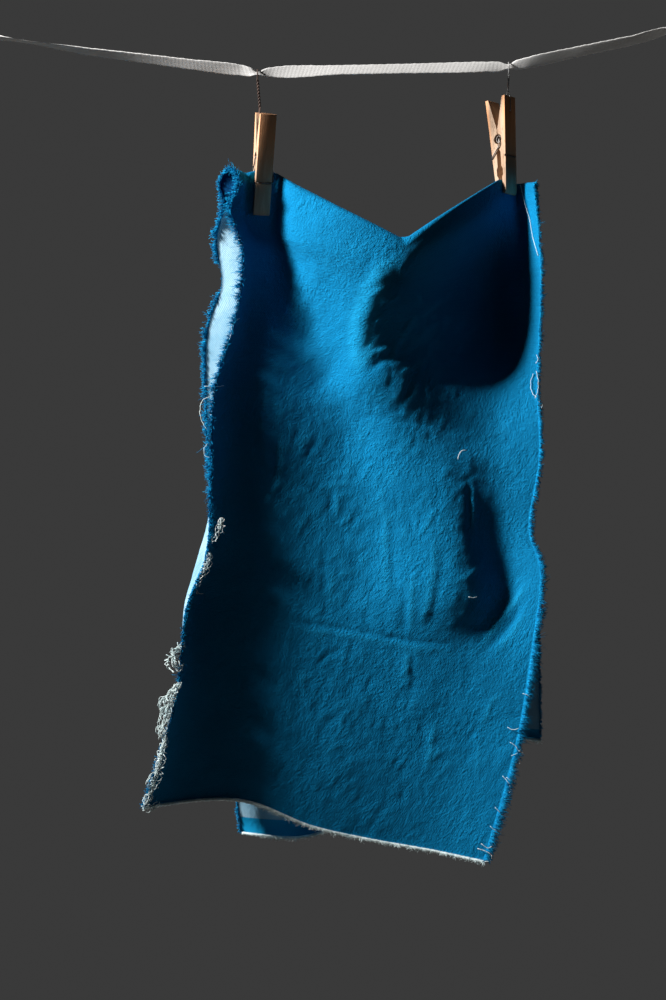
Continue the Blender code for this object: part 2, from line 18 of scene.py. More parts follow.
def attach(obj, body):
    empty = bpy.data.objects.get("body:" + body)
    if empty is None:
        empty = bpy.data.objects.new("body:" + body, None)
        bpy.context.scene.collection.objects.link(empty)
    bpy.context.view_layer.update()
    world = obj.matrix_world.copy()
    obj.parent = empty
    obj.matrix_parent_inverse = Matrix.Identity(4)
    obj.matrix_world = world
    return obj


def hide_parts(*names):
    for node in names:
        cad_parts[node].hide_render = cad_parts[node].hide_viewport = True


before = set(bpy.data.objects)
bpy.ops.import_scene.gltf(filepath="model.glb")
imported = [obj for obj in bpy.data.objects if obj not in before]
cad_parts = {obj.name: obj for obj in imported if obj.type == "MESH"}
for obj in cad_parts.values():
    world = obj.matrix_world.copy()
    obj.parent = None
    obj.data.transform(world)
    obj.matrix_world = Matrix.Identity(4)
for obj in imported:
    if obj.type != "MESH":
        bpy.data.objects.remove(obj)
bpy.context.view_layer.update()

MM = 0.001

# %% [markdown]
# ## The camera
#
# The picture was taken square to the tape from about two metres away. A long lens keeps the pegs'
# uprights parallel, so 81 mm on a full frame fits the picture's height to 0.8 m of the object.

# %% The camera
EYE = np.array((278.4, -1800.0, -371.2))
LENS = 81

bpy.ops.object.camera_add(location=EYE * MM, rotation=(math.radians(90), 0, 0))
camera = bpy.context.active_object
camera.data.lens = LENS
bpy.context.scene.camera = camera
print("one step of the 1000 down the picture is", round(36 / LENS * -EYE[1] / 1000, 3), "mm at the tape")

# %% [markdown]
# ## Small helpers for curves and meshes
#
# Cloth, tape and thread are all lines or grids of points that follow a few measured places
# smoothly. One function draws that smooth curve, the others measure along it and turn points into
# a mesh.

# %% Curve helpers


def smooth_through(knots, values, at):
    """Values at the places `at` on the smooth curve through the knots' values."""
    knots, values, at = (np.asarray(part, float) for part in (knots, values, at))
    shape = (-1, *[1] * (values.ndim - 1))
    steps = np.diff(knots)
    slopes = np.diff(values, axis=0) / steps.reshape(shape)
    tangents = np.empty_like(values)
    tangents[0], tangents[-1] = slopes[0], slopes[-1]
    share = (steps[:-1] / (steps[:-1] + steps[1:])).reshape(shape)
    tangents[1:-1] = slopes[:-1] * (1 - share) + slopes[1:] * share
    piece = np.clip(np.searchsorted(knots, at, side="right") - 1, 0, len(steps) - 1)
    t, span = ((at - knots[piece]) / steps[piece]).reshape(shape), steps[piece].reshape(shape)
    return (
        values[piece] * (2 * t**3 - 3 * t**2 + 1)
        + tangents[piece] * span * (t**3 - 2 * t**2 + t)
        + values[piece + 1] * (3 * t**2 - 2 * t**3)
        + tangents[piece + 1] * span * (t**3 - t**2)
    )


def running_length(points):
    return np.concatenate([[0], np.cumsum(np.linalg.norm(np.diff(points, axis=0), axis=1))])


def unit(vectors):
    return vectors / np.maximum(np.linalg.norm(vectors, axis=-1, keepdims=True), 1e-9)


def eased(share):
    """0 below 0, 1 above 1, with a soft start and end between."""
    t = np.clip(share, 0, 1)
    return t * t * (3 - 2 * t)


between = smooth_through((0, 1, 2), (0, 1, 4), (0.5, 1.5))
print("a smooth curve through 0, 1 and 4 passes", between.round(2).tolist(), "halfway between them")


# %% Mesh helpers


def deselect_all():
    if bpy.context.object and bpy.context.object.mode != "OBJECT":
        bpy.ops.object.mode_set(mode="OBJECT")
    bpy.ops.object.select_all(action="DESELECT")


def mesh_piece(name, points, faces, finishes, finish_of=None, uv=None):
    """A smooth-shaded piece from points in millimetres, with its finishes and its flat pattern."""
    mesh = bpy.data.meshes.new(name)
    mesh.from_pydata((np.asarray(points, float) * MM).tolist(), [], faces)
    for finish in finishes:
        mesh.materials.append(finish)
    if finish_of is not None:
        mesh.polygons.foreach_set("material_index", np.asarray(finish_of, np.int32))
    if uv is not None:
        corners = np.empty(len(mesh.loops), np.int32)
        mesh.loops.foreach_get("vertex_index", corners)
        mesh.uv_layers.new(name="flat").data.foreach_set("uv", np.asarray(uv, float)[corners].ravel())
    mesh.shade_smooth()
    piece = bpy.data.objects.new(name, mesh)
    bpy.context.scene.collection.objects.link(piece)
    return piece


def joined(parts):
    """Several (points, faces) pairs as one pair."""
    points, faces, start = [], [], 0
    for part_points, part_faces in parts:
        points.append(part_points)
        faces += [tuple(corner + start for corner in face) for face in part_faces]
        start += len(part_points)
    return np.concatenate(points), faces


def tube(line, radius, sides=5):
    """A round thread along a line, as (points, faces). radius may change along it."""
    line = np.asarray(line, float)
    radius = np.broadcast_to(radius, len(line))
    ahead = unit(np.gradient(line, axis=0))
    side = unit(np.cross(ahead[0], (0.31, 0.77, 0.55)))
    points = []
    for place, way, thick in zip(line, ahead, radius):
        side = unit(side - side.dot(way) * way)
        other = np.cross(way, side)
        for k in range(sides):
            angle = 2 * math.pi * k / sides
            points.append(place + thick * (side * math.cos(angle) + other * math.sin(angle)))
    faces = [tuple(range(sides - 1, -1, -1)), tuple(range(len(points) - sides, len(points)))]
    for base in range(0, len(points) - sides, sides):
        for k in range(sides):
            after = (k + 1) % sides
            faces.append((base + k, base + after, base + sides + after, base + sides + k))
    return np.array(points), faces


print("a thread through three points has", len(tube(((0, 0, 0), (0, 0, 1), (0, 0, 2)), 0.5)[1]), "faces")

# %% [markdown]
# ## Reading shader maths like a sentence
#
# A finish is a small tree of nodes. Wrapping a socket in a class lets ordinary signs such as + and *
# add the Math nodes, so a weave can be written as the formula that it is.

# %% The shader helper classes


class Value:
    """One number that varies over the surface. Signs on it add Math nodes."""

    def __init__(self, finish, socket):
        self.finish, self.socket = finish, socket

    def maths(self, operation, *others):
        inputs = {k: other for k, other in enumerate((self, *others))}
        return self.finish.add("Math", {"operation": operation}, inputs)

    def __add__(self, other):
        return self.maths("ADD", other)

    def __sub__(self, other):
        return self.maths("SUBTRACT", other)

    def __mul__(self, other):
        return self.maths("MULTIPLY", other)

    def __truediv__(self, other):
        return self.maths("DIVIDE", other)

    def __pow__(self, other):
        return self.maths("POWER", other)

    def __rsub__(self, other):
        return self.finish.add("Math", {"operation": "SUBTRACT"}, {0: other, 1: self})

    __radd__, __rmul__ = __add__, __mul__

    def wave(self, pitch):
        """0 to 1 and back, once for every pitch along this value."""
        return (self * (2 * math.pi / pitch)).maths("SINE") * 0.5 + 0.5

    def ridge(self):
        """1 where a noise crosses its middle, 0 at its ends."""
        return 1 - ((self - 0.5) * 2).maths("ABSOLUTE")

    def between(self, low, high):
        """Softly from 0 at low to 1 at high."""
        settings = {"interpolation_type": "SMOOTHSTEP"}
        return self.finish.add("MapRange", settings, {"Value": self, "From Min": low, "From Max": high})


class Finish:
    """A material, its shader and short ways to add nodes to it."""

    def __init__(self, name, roughness=0.8, **fixed):
        self.material = bpy.data.materials.new(name)
        self.material.use_nodes = True
        self.tree = self.material.node_tree
        self.shader = self.tree.nodes["Principled BSDF"]
        self.shader.inputs["Roughness"].default_value = roughness
        for socket, value in fixed.items():
            self.shader.inputs[socket.replace("_", " ")].default_value = value

    def put(self, socket, value):
        if isinstance(value, Value):
            self.tree.links.new(value.socket, socket)
        elif isinstance(value, bpy.types.NodeSocket):
            self.tree.links.new(value, socket)
        else:
            socket.default_value = value

    def add(self, kind, settings=None, inputs=None, output=0):
        """One node: its settings are made first, then its sockets get values or links."""
        node = self.tree.nodes.new("ShaderNode" + kind)
        for name, value in (settings or {}).items():
            setattr(node, name, value)
        for name, value in (inputs or {}).items():
            self.put(node.inputs[name], value)
        return Value(self, node.outputs[output])

    def mix(self, share, first, second):
        colours = {k: (*c, 1) if isinstance(c, tuple) else c for k, c in (("A", first), ("B", second))}
        node = self.tree.nodes.new("ShaderNodeMix")
        node.data_type = "RGBA"
        self.put(node.inputs["Factor"], share)
        for letter, place in (("A", 6), ("B", 7)):
            self.put(node.inputs[place], colours[letter])
        return node.outputs[2]

    def place(self):
        return self.add("TexCoord", output="Object").socket

    def flat(self):
        """The place on the cut cloth before it was hung, in metres: across and down."""
        spot = self.add("UVMap", {"uv_map": "flat"}).socket
        parts = self.add("SeparateXYZ", inputs={0: spot})
        return spot, parts, Value(self, parts.socket.node.outputs[1])

    def moved(self, spot, scale=(1, 1, 1), turn=(0, 0, 0), at=(0, 0, 0), kind="POINT"):
        inputs = {"Vector": spot, "Location": at, "Rotation": turn, "Scale": scale}
        return self.add("Mapping", {"vector_type": kind}, inputs).socket

    def noise(self, spot, scale, detail=2.0, rough=0.5, warp=0.0):
        inputs = {"Vector": spot, "Scale": scale, "Detail": detail, "Roughness": rough, "Distortion": warp}
        return self.add("TexNoise", inputs=inputs)

    def bump(self, height, depth, normal=None):
        """A Bump node: depth is the real height of the relief in metres."""
        inputs = {"Height": height, "Distance": depth, "Strength": 1.0}
        if normal is not None:
            inputs["Normal"] = normal
        return self.add("Bump", inputs=inputs).socket

    def wear(self, colour=None, normal=None, roughness=None):
        for name, value in (("Base Color", colour), ("Normal", normal), ("Roughness", roughness)):
            if value is not None:
                self.put(self.shader.inputs[name], (*value, 1) if isinstance(value, tuple) else value)
        return self.material


# %% [markdown]
# ## Cotton for the tape
#
# The line is a flat woven cotton tape, unbleached and a little grey. Its finish is a plain weave:
# ribs along and across, in the tape's own flat pattern, so that they follow each twist.

# %% The cotton finish


def cotton_finish():
    finish = Finish("cotton tape", roughness=0.9)
    spot, along, across = finish.flat()
    weave = along.wave(0.0011) * across.wave(0.0007)
    slub = finish.noise(finish.moved(spot, scale=(60, 900, 1)), 1, detail=3)
    grime = finish.noise(finish.place(), 35, detail=3)
    colour = finish.mix(grime.between(0.45, 0.75) * 0.4, (0.95, 0.93, 0.90), (0.80, 0.77, 0.73))
    colour = finish.mix((1 - weave) * 0.15, colour, (0.50, 0.47, 0.43))
    normal = finish.bump(weave * 0.7 + slub * 0.5, 0.00022)
    return finish.wear(colour=colour, normal=normal)


COTTON = cotton_finish()
print("finish:", COTTON.name)

# %% [markdown]
# ## The tape
#
# A tape is a cord with a wide, thin section. It is lofted through measured stations: the place, the
# width seen flat, the thickness, and the turn about its own length. Where a wire tie cinches it, it
# gathers into small pleats. Something outside the picture holds both ends taut, so it doesn't sag
# and ends in its two knots.

# %% The tape's stations
TAPE = (
    ((5.2, 0, -0.4), 4.0, 2.2, 60),
    ((14, 0, -1.8), 8.0, 1.0, 76),
    ((82, -3, -12.9), 9.0, 1.0, 62),
    ((123, -5, -18.4), 9.0, 1.0, 48),
    ((164, -7, -24.0), 9.0, 1.0, 36),
    ((206, -9, -29.2), 8.6, 1.0, 26),
    ((213.5, -10, -31.0), 6.4, 1.6, 18),
    ((216.8, -10, -32.0), 3.0, 2.2, 0),
    ((220.0, -10, -32.0), 3.0, 2.2, 0),
    ((223.4, -9.5, -31.4), 6.2, 1.6, -10),
    ((230, -8, -30.6), 8.6, 1.0, -14),
    ((284, 0, -27.2), 9.6, 1.0, -28),
    ((340, 9, -24.4), 9.6, 1.0, -26),
    ((400, 17.5, -21.4), 9.4, 1.0, -18),
    ((415.5, 19.5, -21.0), 7.0, 1.6, -4),
    ((419.2, 20, -20.8), 4.2, 2.4, 0),
    ((421.8, 20, -20.6), 4.2, 2.4, 0),
    ((425.5, 20, -19.8), 6.8, 1.6, 14),
    ((436, 19, -17.6), 9.0, 1.0, 26),
    ((480, 15, -8.6), 9.0, 1.0, 34),
    ((520, 12, -1.0), 9.0, 1.0, 40),
    ((543, 10.5, 5.4), 8.0, 1.0, 44),
    ((551.8, 9.8, 7.9), 4.0, 2.2, 44),
)
TAPE_WIDTH = 9.0
TAPE_STEP = 1.6
TAPE_SIDES = 20
PLEAT_DEPTH = 0.35
PLEATS_ACROSS = 9
# a power under 1 pushes the round section out towards the corners of a flat band
WIDE_POWER, DEEP_POWER = 0.8, 0.35
# height of each slow wave in the tape's edge, and how fast it runs, in radians a millimetre
EDGE_WAVES = ((0.12, 0.9), (0.08, 0.37))

places = np.array([row[0] for row in TAPE], float)
sizes = np.array([row[1:] for row in TAPE], float)
station_at = running_length(places)
stops = np.linspace(0, station_at[-1], int(station_at[-1] / TAPE_STEP))
tape_line = np.column_stack([np.interp(stops, station_at, column) for column in places.T])
tape_width, tape_thick, tape_turn = smooth_through(station_at, sizes, stops).T
print("tape:", len(TAPE), "stations,", round(station_at[-1]), "mm long")

# %% The tape's loft
ahead = unit(np.gradient(tape_line, axis=0))
up = unit(np.array((0, 0, 1.0)) - ahead[:, 2:] * ahead)
face = np.cross(ahead, up)
turn = np.radians(tape_turn)[:, None]
width_way = up * np.cos(turn) + face * np.sin(turn)
thick_way = face * np.cos(turn) - up * np.sin(turn)
round_by = np.linspace(0, 2 * math.pi, TAPE_SIDES, endpoint=False)
wide = np.sign(np.cos(round_by)) * np.abs(np.cos(round_by)) ** WIDE_POWER
deep = np.sign(np.sin(round_by)) * np.abs(np.sin(round_by)) ** DEEP_POWER
gather = np.clip(1 - tape_width / TAPE_WIDTH, 0, 1)[:, None]
pleats = PLEAT_DEPTH * gather * np.cos(wide * PLEATS_ACROSS + 0.6)
edge_wave = sum(height * np.sin(stops * rate) for height, rate in EDGE_WAVES)[:, None]
tape_points = (
    tape_line[:, None]
    + width_way[:, None] * (wide * (tape_width[:, None] / 2 + edge_wave))[..., None]
    + thick_way[:, None] * (deep * tape_thick[:, None] / 2 + pleats)[..., None]
).reshape(-1, 3)
last = len(tape_points) - TAPE_SIDES
tape_faces = [tuple(range(TAPE_SIDES)), tuple(range(last + TAPE_SIDES - 1, last - 1, -1))]
for base in range(0, last, TAPE_SIDES):
    for k in range(TAPE_SIDES):
        after = (k + 1) % TAPE_SIDES
        tape_faces.append((base + k, base + TAPE_SIDES + k, base + TAPE_SIDES + after, base + after))
tape_uv = np.stack(np.broadcast_arrays(stops[:, None], wide * TAPE_WIDTH / 2), axis=-1).reshape(-1, 2) * MM
tape = mesh_piece("cotton_tape", tape_points, tape_faces, [COTTON], uv=tape_uv)
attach(tape, "root")
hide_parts("line_tape")
print("tape mesh:", len(tape_faces), "faces")

# %% [markdown]
# ## The knots at its ends
#
# Each end is a hard overhand knot, pulled tight. Its course is a trefoil, the simplest knot there
# is: a line that winds three times round while it goes twice about the middle. A flattened thick
# tube along that course packs into a lump.

# %% The knots
KNOTS = {"left": (0.0, 0.0, 0.0), "right": (557.0, 9.5, 9.4)}
KNOT_DEPTH, KNOT_REACH = 1.045, 1.62
KNOT_BAND = 1.75

for side, middle in KNOTS.items():
    t = np.linspace(0, 2 * math.pi, 91)[:-1]
    trefoil = (-np.sin(3 * t), np.sin(t) + 2 * np.sin(2 * t), np.cos(t) - 2 * np.cos(2 * t))
    course = np.array(middle) + np.column_stack(trefoil) * (KNOT_DEPTH, KNOT_REACH, KNOT_REACH)
    loop_points, loop_faces = tube(np.vstack([course, course[:1]]), KNOT_BAND, sides=10)
    knot = mesh_piece(f"tape_knot_{side}", loop_points, loop_faces, [COTTON], uv=loop_points[:, 1:] * MM)
    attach(knot, "root")
    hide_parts(f"line_knot_{side}")

# %% [markdown]
# ## Hard pieces: merged copies of the CAD
#
# The pegs, their springs and the wire ties already have their true shape in the CAD, but its
# meshes are loose triangles with knife-sharp edges. Each gets a copy whose triangles are joined
# again into flat faces. Real wood is tumbled smooth, so a fine bevel rounds every edge and catches
# the light. Wire is round, so its copy is subdivided instead.

# %% Copies with softened edges
PIN_BEVEL = 0.5
SOFT_ANGLE = math.radians(32)


def merged_copy(node, name, finish):
    """A copy of a CAD node with its triangles joined into flat faces again."""
    deselect_all()
    piece = bpy.data.objects.new(name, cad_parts[node].data.copy())
    bpy.context.scene.collection.objects.link(piece)
    piece.data.materials.clear()
    piece.data.materials.append(finish)
    piece.select_set(True)
    bpy.context.view_layer.objects.active = piece
    bpy.ops.object.mode_set(mode="EDIT")
    bpy.ops.mesh.select_all(action="SELECT")
    bpy.ops.mesh.remove_doubles(threshold=0.002 * MM)
    bpy.ops.mesh.tris_convert_to_quads(face_threshold=math.radians(50), shape_threshold=math.radians(60))
    bpy.ops.object.mode_set(mode="OBJECT")
    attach(piece, "root")
    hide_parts(node)
    return piece


def apply_modifier(piece, kind, **settings):
    deselect_all()
    piece.select_set(True)
    bpy.context.view_layer.objects.active = piece
    made = piece.modifiers.new(kind.lower(), kind)
    for name, value in settings.items():
        setattr(made, name, value)
    bpy.ops.object.modifier_apply(modifier=made.name)


def soften(piece):
    """Flat faces in one piece each, then a fine rounded bevel along every sharp edge."""
    bpy.ops.object.mode_set(mode="EDIT")
    bpy.ops.mesh.select_all(action="SELECT")
    bpy.ops.mesh.dissolve_limited(angle_limit=math.radians(1))
    bpy.ops.object.mode_set(mode="OBJECT")
    bevel = {"width": PIN_BEVEL * MM, "segments": 3, "limit_method": "ANGLE", "angle_limit": SOFT_ANGLE}
    apply_modifier(piece, "BEVEL", **bevel)
    bpy.ops.object.shade_smooth_by_angle(angle=SOFT_ANGLE)


# %% [markdown]
# ## Weathered beech
#
# Pegs are sawn from beech with the grain along the leg. The face that looks out is painted a redder,
# lighter brown than the sides, as painted light on a face that the side lamp leaves in shade, and
# fingers have darkened the handles. The pattern is stretched noise in the peg's own directions, so a
# Mapping node first undoes the way that the peg leans.

# %% The pegs' directions and the wood finish
PINS = {
    "left": {"tip": (220.0, 6, -142.5), "turn": 14, "forward": 12, "lean": 0.8},
    "right": {"tip": (419.2, 22, -124.5), "turn": 44, "forward": -8, "lean": 3.2},
}


def pin_turn(pin):
    turn, forward, lean = (math.radians(pin[key]) for key in ("turn", "forward", "lean"))
    return Matrix.Rotation(turn, 3, "Z") @ Matrix.Rotation(lean, 3, "Y") @ Matrix.Rotation(forward, 3, "X")


def pin_axes(pin):
    """The pin's width, front and length directions, as rows of a matrix."""
    return np.array([pin_turn(pin) @ Vector(way) for way in ((1, 0, 0), (0, -1, 0), (0, 0, 1))])


def wood_finish(name, pin, face_out):
    finish = Finish(name, roughness=0.72)
    turned = tuple(pin_turn(pin).to_euler())
    spot = finish.moved(finish.place(), turn=turned, at=tuple(np.array(pin["tip"]) * MM), kind="TEXTURE")
    parts = finish.add("SeparateXYZ", inputs={0: spot})
    front, length = (Value(finish, parts.socket.node.outputs[k]) for k in (1, 2))
    fibre = finish.noise(finish.moved(spot, scale=(1500, 1500, 45)), 1, detail=4, rough=0.65)
    rings = finish.noise(finish.moved(spot, scale=(230, 230, 9)), 1, detail=2, warp=0.6)
    fleck = finish.noise(finish.moved(spot, scale=(1300, 1300, 240)), 1, detail=1).between(0.66, 0.74)
    stain = finish.noise(spot, 70, detail=3)
    # painted light: the outward face is coloured a redder, lighter brown that stands in for light on a face
    # the side lamp leaves in shade; the noise adds real stains of the same colour
    outward_light_and_stain = (front * -face_out).between(0.0055, 0.0095) * 0.8 + stain.between(0.5, 0.8) * 0.2
    colour = finish.mix(rings.between(0.35, 0.65), (0.46, 0.29, 0.18), (0.60, 0.41, 0.27))
    colour = finish.mix(fibre.between(0.5, 0.75) * 0.5, colour, (0.34, 0.21, 0.12))
    colour = finish.mix(fleck * 0.5, colour, (0.22, 0.13, 0.075))
    colour = finish.mix(outward_light_and_stain, colour, (0.95, 0.40, 0.15))
    colour = finish.mix(length.between(0.06, 0.082) * 0.25, colour, (0.27, 0.20, 0.15))
    normal = finish.bump(fibre * 0.8 + rings * 0.4 - fleck * 0.5, 0.00045)
    return finish.wear(colour=colour, normal=normal, roughness=0.62 + fibre * 0.25)


print("the pegs' fronts look to", {side: pin_axes(pin)[1].round(2).tolist() for side, pin in PINS.items()})

# %% The pegs' legs
for side, pin in PINS.items():
    for which, face_out in (("front", 1), ("rear", -1)):
        wood = wood_finish(f"beech {side} {which}", pin, face_out)
        leg = merged_copy(f"pin_{side}_{which}", f"peg_{side}_{which}", wood)
        soften(leg)
        print(leg.name, len(leg.data.polygons), "faces")

# %% [markdown]
# ## Springs and wire ties
#
# The springs are hard steel wire, dull from weather. The left tie is a dark brown coated wire, the
# right one bare grey wire. Each is two strands twisted together, which the CAD copy already shows.

# %% Wire finishes and pieces
# piece, slot, clean colour, dull colour, how metallic, roughness
WIRES = {
    "pin_left_spring": (
        "peg_spring_left", "spring_steel", (0.26, 0.24, 0.22), (0.12, 0.075, 0.05), 0.9, 0.42,
    ),
    "pin_right_spring": (
        "peg_spring_right", "spring_steel", (0.30, 0.28, 0.26), (0.14, 0.09, 0.06), 0.9, 0.42,
    ),
    "tie_left": ("wire_tie_left", "brown_wire", (0.10, 0.055, 0.038), (0.045, 0.026, 0.02), 0.1, 0.55),
    "tie_right": ("wire_tie_right", "grey_wire", (0.50, 0.49, 0.48), (0.24, 0.23, 0.22), 0.55, 0.4),
}


def wire_finish(name, clean, dull, metal, roughness):
    finish = Finish(name, roughness=roughness, Metallic=metal)
    spots = finish.noise(finish.place(), 420, detail=4, rough=0.6)
    colour = finish.mix(spots.between(0.42, 0.66), clean, dull)
    rough = roughness + spots * 0.25
    return finish.wear(colour=colour, normal=finish.bump(spots, 0.00008), roughness=rough)


for node, (name, slot, clean, dull, metal, roughness) in WIRES.items():
    wire = merged_copy(node, name, wire_finish(name.replace("_", " "), clean, dull, metal, roughness))
    apply_modifier(wire, "SUBSURF", levels=1, render_levels=1)
    bpy.ops.object.shade_smooth()
    print(wire.name, len(wire.data.polygons), "faces")

# %% [markdown]
# ## How the denim hangs
#
# One length of denim, selvedge to selvedge, is folded in two over the pegs' jaws. Each row of the
# table is a line across it: the point where the left margin turns, the turn from there to the cut
# edge, the valley at the left peg, the slack beside it, the ridge in the middle, the dip at the right
# peg and the right edge. The rows are the same ones that the CAD solid is built from, so the fine
# sheet lies on it.

# %% The rows of the hanging cloth
COLUMNS = ("bend", "turn", "valley", "slack", "ridge", "dip", "side")
FRONT = (
    ("fold", (208, -8, -120), (-4, -4, -1), (222, -1, -110), (250, -15, -126),
     (334, -44, -174), (419, 22, -116), (440, 8, -119)),
    ("pinch", (201, -6, -135), (-4, -3, 0), (222, 3, -146), (250, -15, -157),
     (331, -44, -188), (419, 23, -134), (441, -2, -138)),
    ("shoulder", (210, -9, -173), (-3, -4, 0), (232, 6, -175), (268, -24, -188),
     (315, -44, -207), (412, 24, -184), (443, -19, -187)),
    ("slope", (204, -11, -229), (-3, -4, 0), (228, -5, -231), (257, -1, -236),
     (303, -33, -240), (414, 12, -248), (441, -24, -251)),
    ("shelf", (195, -17, -262), (-4, -5, 0), (228, -9, -264), (274, -4, -270),
     (300, -26, -276), (412, -11, -286), (440, -24, -288)),
    ("press", (189, -23, -288), (-4, -6, 0), (228, -13, -292), (285, -7, -300),
     (322, -21, -308), (412, -15, -320), (442, -24, -328)),
    ("neck", (187, -28, -355), (-4, -5, 0), (226, -18, -360), (290, -12, -368),
     (377, -23, -384), (408, -13, -391), (434, -18, -393)),
    ("curl", (173, -33, -418), (5, -4, 0), (220, -21, -424), (290, -15, -436),
     (389, -26, -448), (411, -16, -446), (442, -29, -437)),
    ("crossing", (163, -36, -452), (2, -5, 0), (216, -23, -461), (290, -17, -476),
     (366, -20, -486), (400, -20, -490), (434, -28, -499)),
    ("flange", (159, -37, -526), (-3, -6, 0), (212, -24, -536), (286, -18, -550),
     (340, -15, -559), (390, -16, -567), (422, -22, -570)),
    ("hem", (135, -45, -610), (-4, -6, 0), (209, -25, -608), (262, -20, -629),
     (312, -14, -641), (356, -12, -649), (398, -18, -657)),
)
BACK = (
    ("fold", (197, 4, -119), (-9, 2, -1), (222, 1, -110), (278, -17, -142),
     (334, -34, -174), (419, 24, -116), (443, 19, -119)),
    ("pinch", (197, 1, -135), (-6, -2, 0), (222, 5, -146), (276, -16, -166),
     (331, -36, -186), (419, 26, -133), (444, 18, -138)),
    ("shoulder", (203, 4, -163), (-18, 8, 0), (232, 12, -170), (278, -9, -184),
     (322, -31, -198), (416, 32, -174), (442, 16, -178)),
    ("dent", (203, 5, -198), (-14, 7, 0), (238, 14, -202), (278, -4, -211),
     (316, -25, -218), (417, 36, -208), (441, 18, -210)),
    ("slope", (200, 5, -228), (-21, 8, 0), (240, 16, -232), (278, 5, -235),
     (311, -18, -236), (418, 34, -241), (440, 20, -242)),
    ("press", (197, 4, -287), (-20, 4, 0), (230, 20, -290), (280, 10, -293),
     (326, -6, -296), (421, 34, -300), (440, 18, -306)),
    ("neck", (197, 6, -356), (-17, 3, 0), (234, 28, -358), (293, 16, -362),
     (352, 2, -366), (414, 38, -382), (434, 18, -390)),
    ("sway", (205, 8, -468), (-15, 4, 0), (244, 36, -466), (295, 20, -464),
     (346, 4, -462), (408, 46, -460), (443, 22, -460)),
    ("low", (208, 10, -564), (-14, 3, 0), (248, 37, -562), (295, 22, -554),
     (342, 6, -545), (406, 46, -525), (446, 26, -517)),
    ("hem", (215, 13, -640), (-10, 2, 1), (256, 36, -645), (298, 25, -628),
     (340, 10, -606), (410, 44, -564), (447, 30, -566)),
)
FOLD_RISE = {"edge": 13.5, "bend": 12.0, "valley": 1.6, "slack": 3.6, "ridge": 6.2, "dip": 2.8, "side": 3.5}
HELD_ROWS = ("fold", "pinch")
HELD_PLACES = {"valley": "left", "dip": "right"}
LAYER_OUT = 1.0
PIN_WIDTH = 13.2
HOLD_REACH, HOLD_SIDE, HOLD_FADE = 9.0, 4.0, 6.0
print("front rows:", [row[0] for row in FRONT])

# %% From rows to a fine grid


def held_at(pin, side, height):
    """Where one layer of cloth passes between a pin's jaws at this height."""
    width, front, length = pin_axes(pin)
    foot = np.array(pin["tip"], float) + side * LAYER_OUT * front
    middle = foot + length * (height - foot[2]) / length[2]
    return [middle - width * HOLD_REACH, middle, middle + width * HOLD_REACH]


def section_line(row, side, shares):
    """One row as points at these shares of its length, with the fold's rise as a fourth column."""
    name, *places = row
    place = dict(zip(COLUMNS, (np.array(point, float) for point in places)))
    place["edge"] = place["bend"] + place.pop("turn")
    nodes = []
    for column, rise in FOLD_RISE.items():
        stops = [place[column]]
        if name in HELD_ROWS and column in HELD_PLACES:
            stops = held_at(PINS[HELD_PLACES[column]], side, place[column][2])
        nodes += [(*stop, rise) for stop in stops]
    nodes = np.array(nodes)
    along = running_length(nodes[:, :3])
    dense = np.linspace(0, along[-1], 400)
    line = smooth_through(along, nodes, dense)
    if name in HELD_ROWS:
        line[:, 2] = np.interp(line[:, 0], nodes[:, 0], nodes[:, 2])
    line[:, 3] = np.interp(dense, along, nodes[:, 3])
    length = running_length(line[:, :3])
    return np.column_stack([np.interp(shares * length[-1], length, column) for column in line.T])


def layer(table, side, shares, count):
    """A grid of points, rows from the fold to the hem by columns from left to right."""
    rows = np.array([section_line(row, side, shares) for row in table])
    drop = np.linalg.norm(np.diff(rows[:, :, :3], axis=0), axis=2).mean(axis=1)
    down = np.concatenate([[0], np.cumsum(drop)])
    return smooth_through(down, rows, np.linspace(0, down[-1], count + 1))


def held_share(points, pin, fade):
    """1 where the peg's jaws press the cloth flat, fading to 0 over `fade` mm."""
    local = (points[..., :3] - np.array(pin["tip"], float)) @ pin_axes(pin).T
    beside = np.maximum(np.abs(local[..., 0]) - PIN_WIDTH / 2 - HOLD_SIDE, 0)
    below = np.maximum(-local[..., 2] - HOLD_SIDE, 0)
    away = np.maximum(np.abs(local[..., 1]) - LAYER_OUT - HOLD_SIDE, 0)
    return eased(1 - np.sqrt(beside**2 + below**2 + away**2) / fade), local


def clamp_to_pins(grid, side):
    for pin in PINS.values():
        share, local = held_share(grid, pin, HOLD_FADE)
        shift = share * (side * LAYER_OUT - local[..., 1])
        grid[..., :3] += shift[..., None] * pin_axes(pin)[1]
    return grid


fold_line = section_line(FRONT[0], 1, np.linspace(0, 1, 50))[:, :3]
print("the fold is", round(float(running_length(fold_line)[-1])), "mm long")

# %% The middle surface of the sheet
ACROSS = 172
FRONT_STEPS, FOLD_STEPS, BACK_STEPS = 300, 16, 120

shares = np.linspace(0, 1, ACROSS + 1)
front_grid = clamp_to_pins(layer(FRONT, 1, shares, FRONT_STEPS), 1)
back_grid = clamp_to_pins(layer(BACK, -1, shares, BACK_STEPS), -1)
middle, reach = (front_grid[0] + back_grid[0]) / 2, (front_grid[0] - back_grid[0]) / 2
fold_rows = []
for step in range(1, FOLD_STEPS):
    angle = math.pi * step / FOLD_STEPS
    over = middle[:, :3] + reach[:, :3] * math.cos(angle)
    over[:, 2] += front_grid[0][:, 3] * math.sin(angle)
    fold_rows.append(over)
sheet = np.concatenate([front_grid[::-1, :, :3], np.array(fold_rows), back_grid[:, :, :3]])
ON_FRONT = FRONT_STEPS + 1
down_steps = np.linalg.norm(np.diff(sheet, axis=0), axis=2).mean(axis=1)
down_at = np.concatenate([[0], np.cumsum(down_steps)])
across_length = float(np.mean([running_length(line)[-1] for line in sheet]))
print("sheet:", sheet.shape, "about", round(across_length), "by", round(down_at[-1]), "mm")
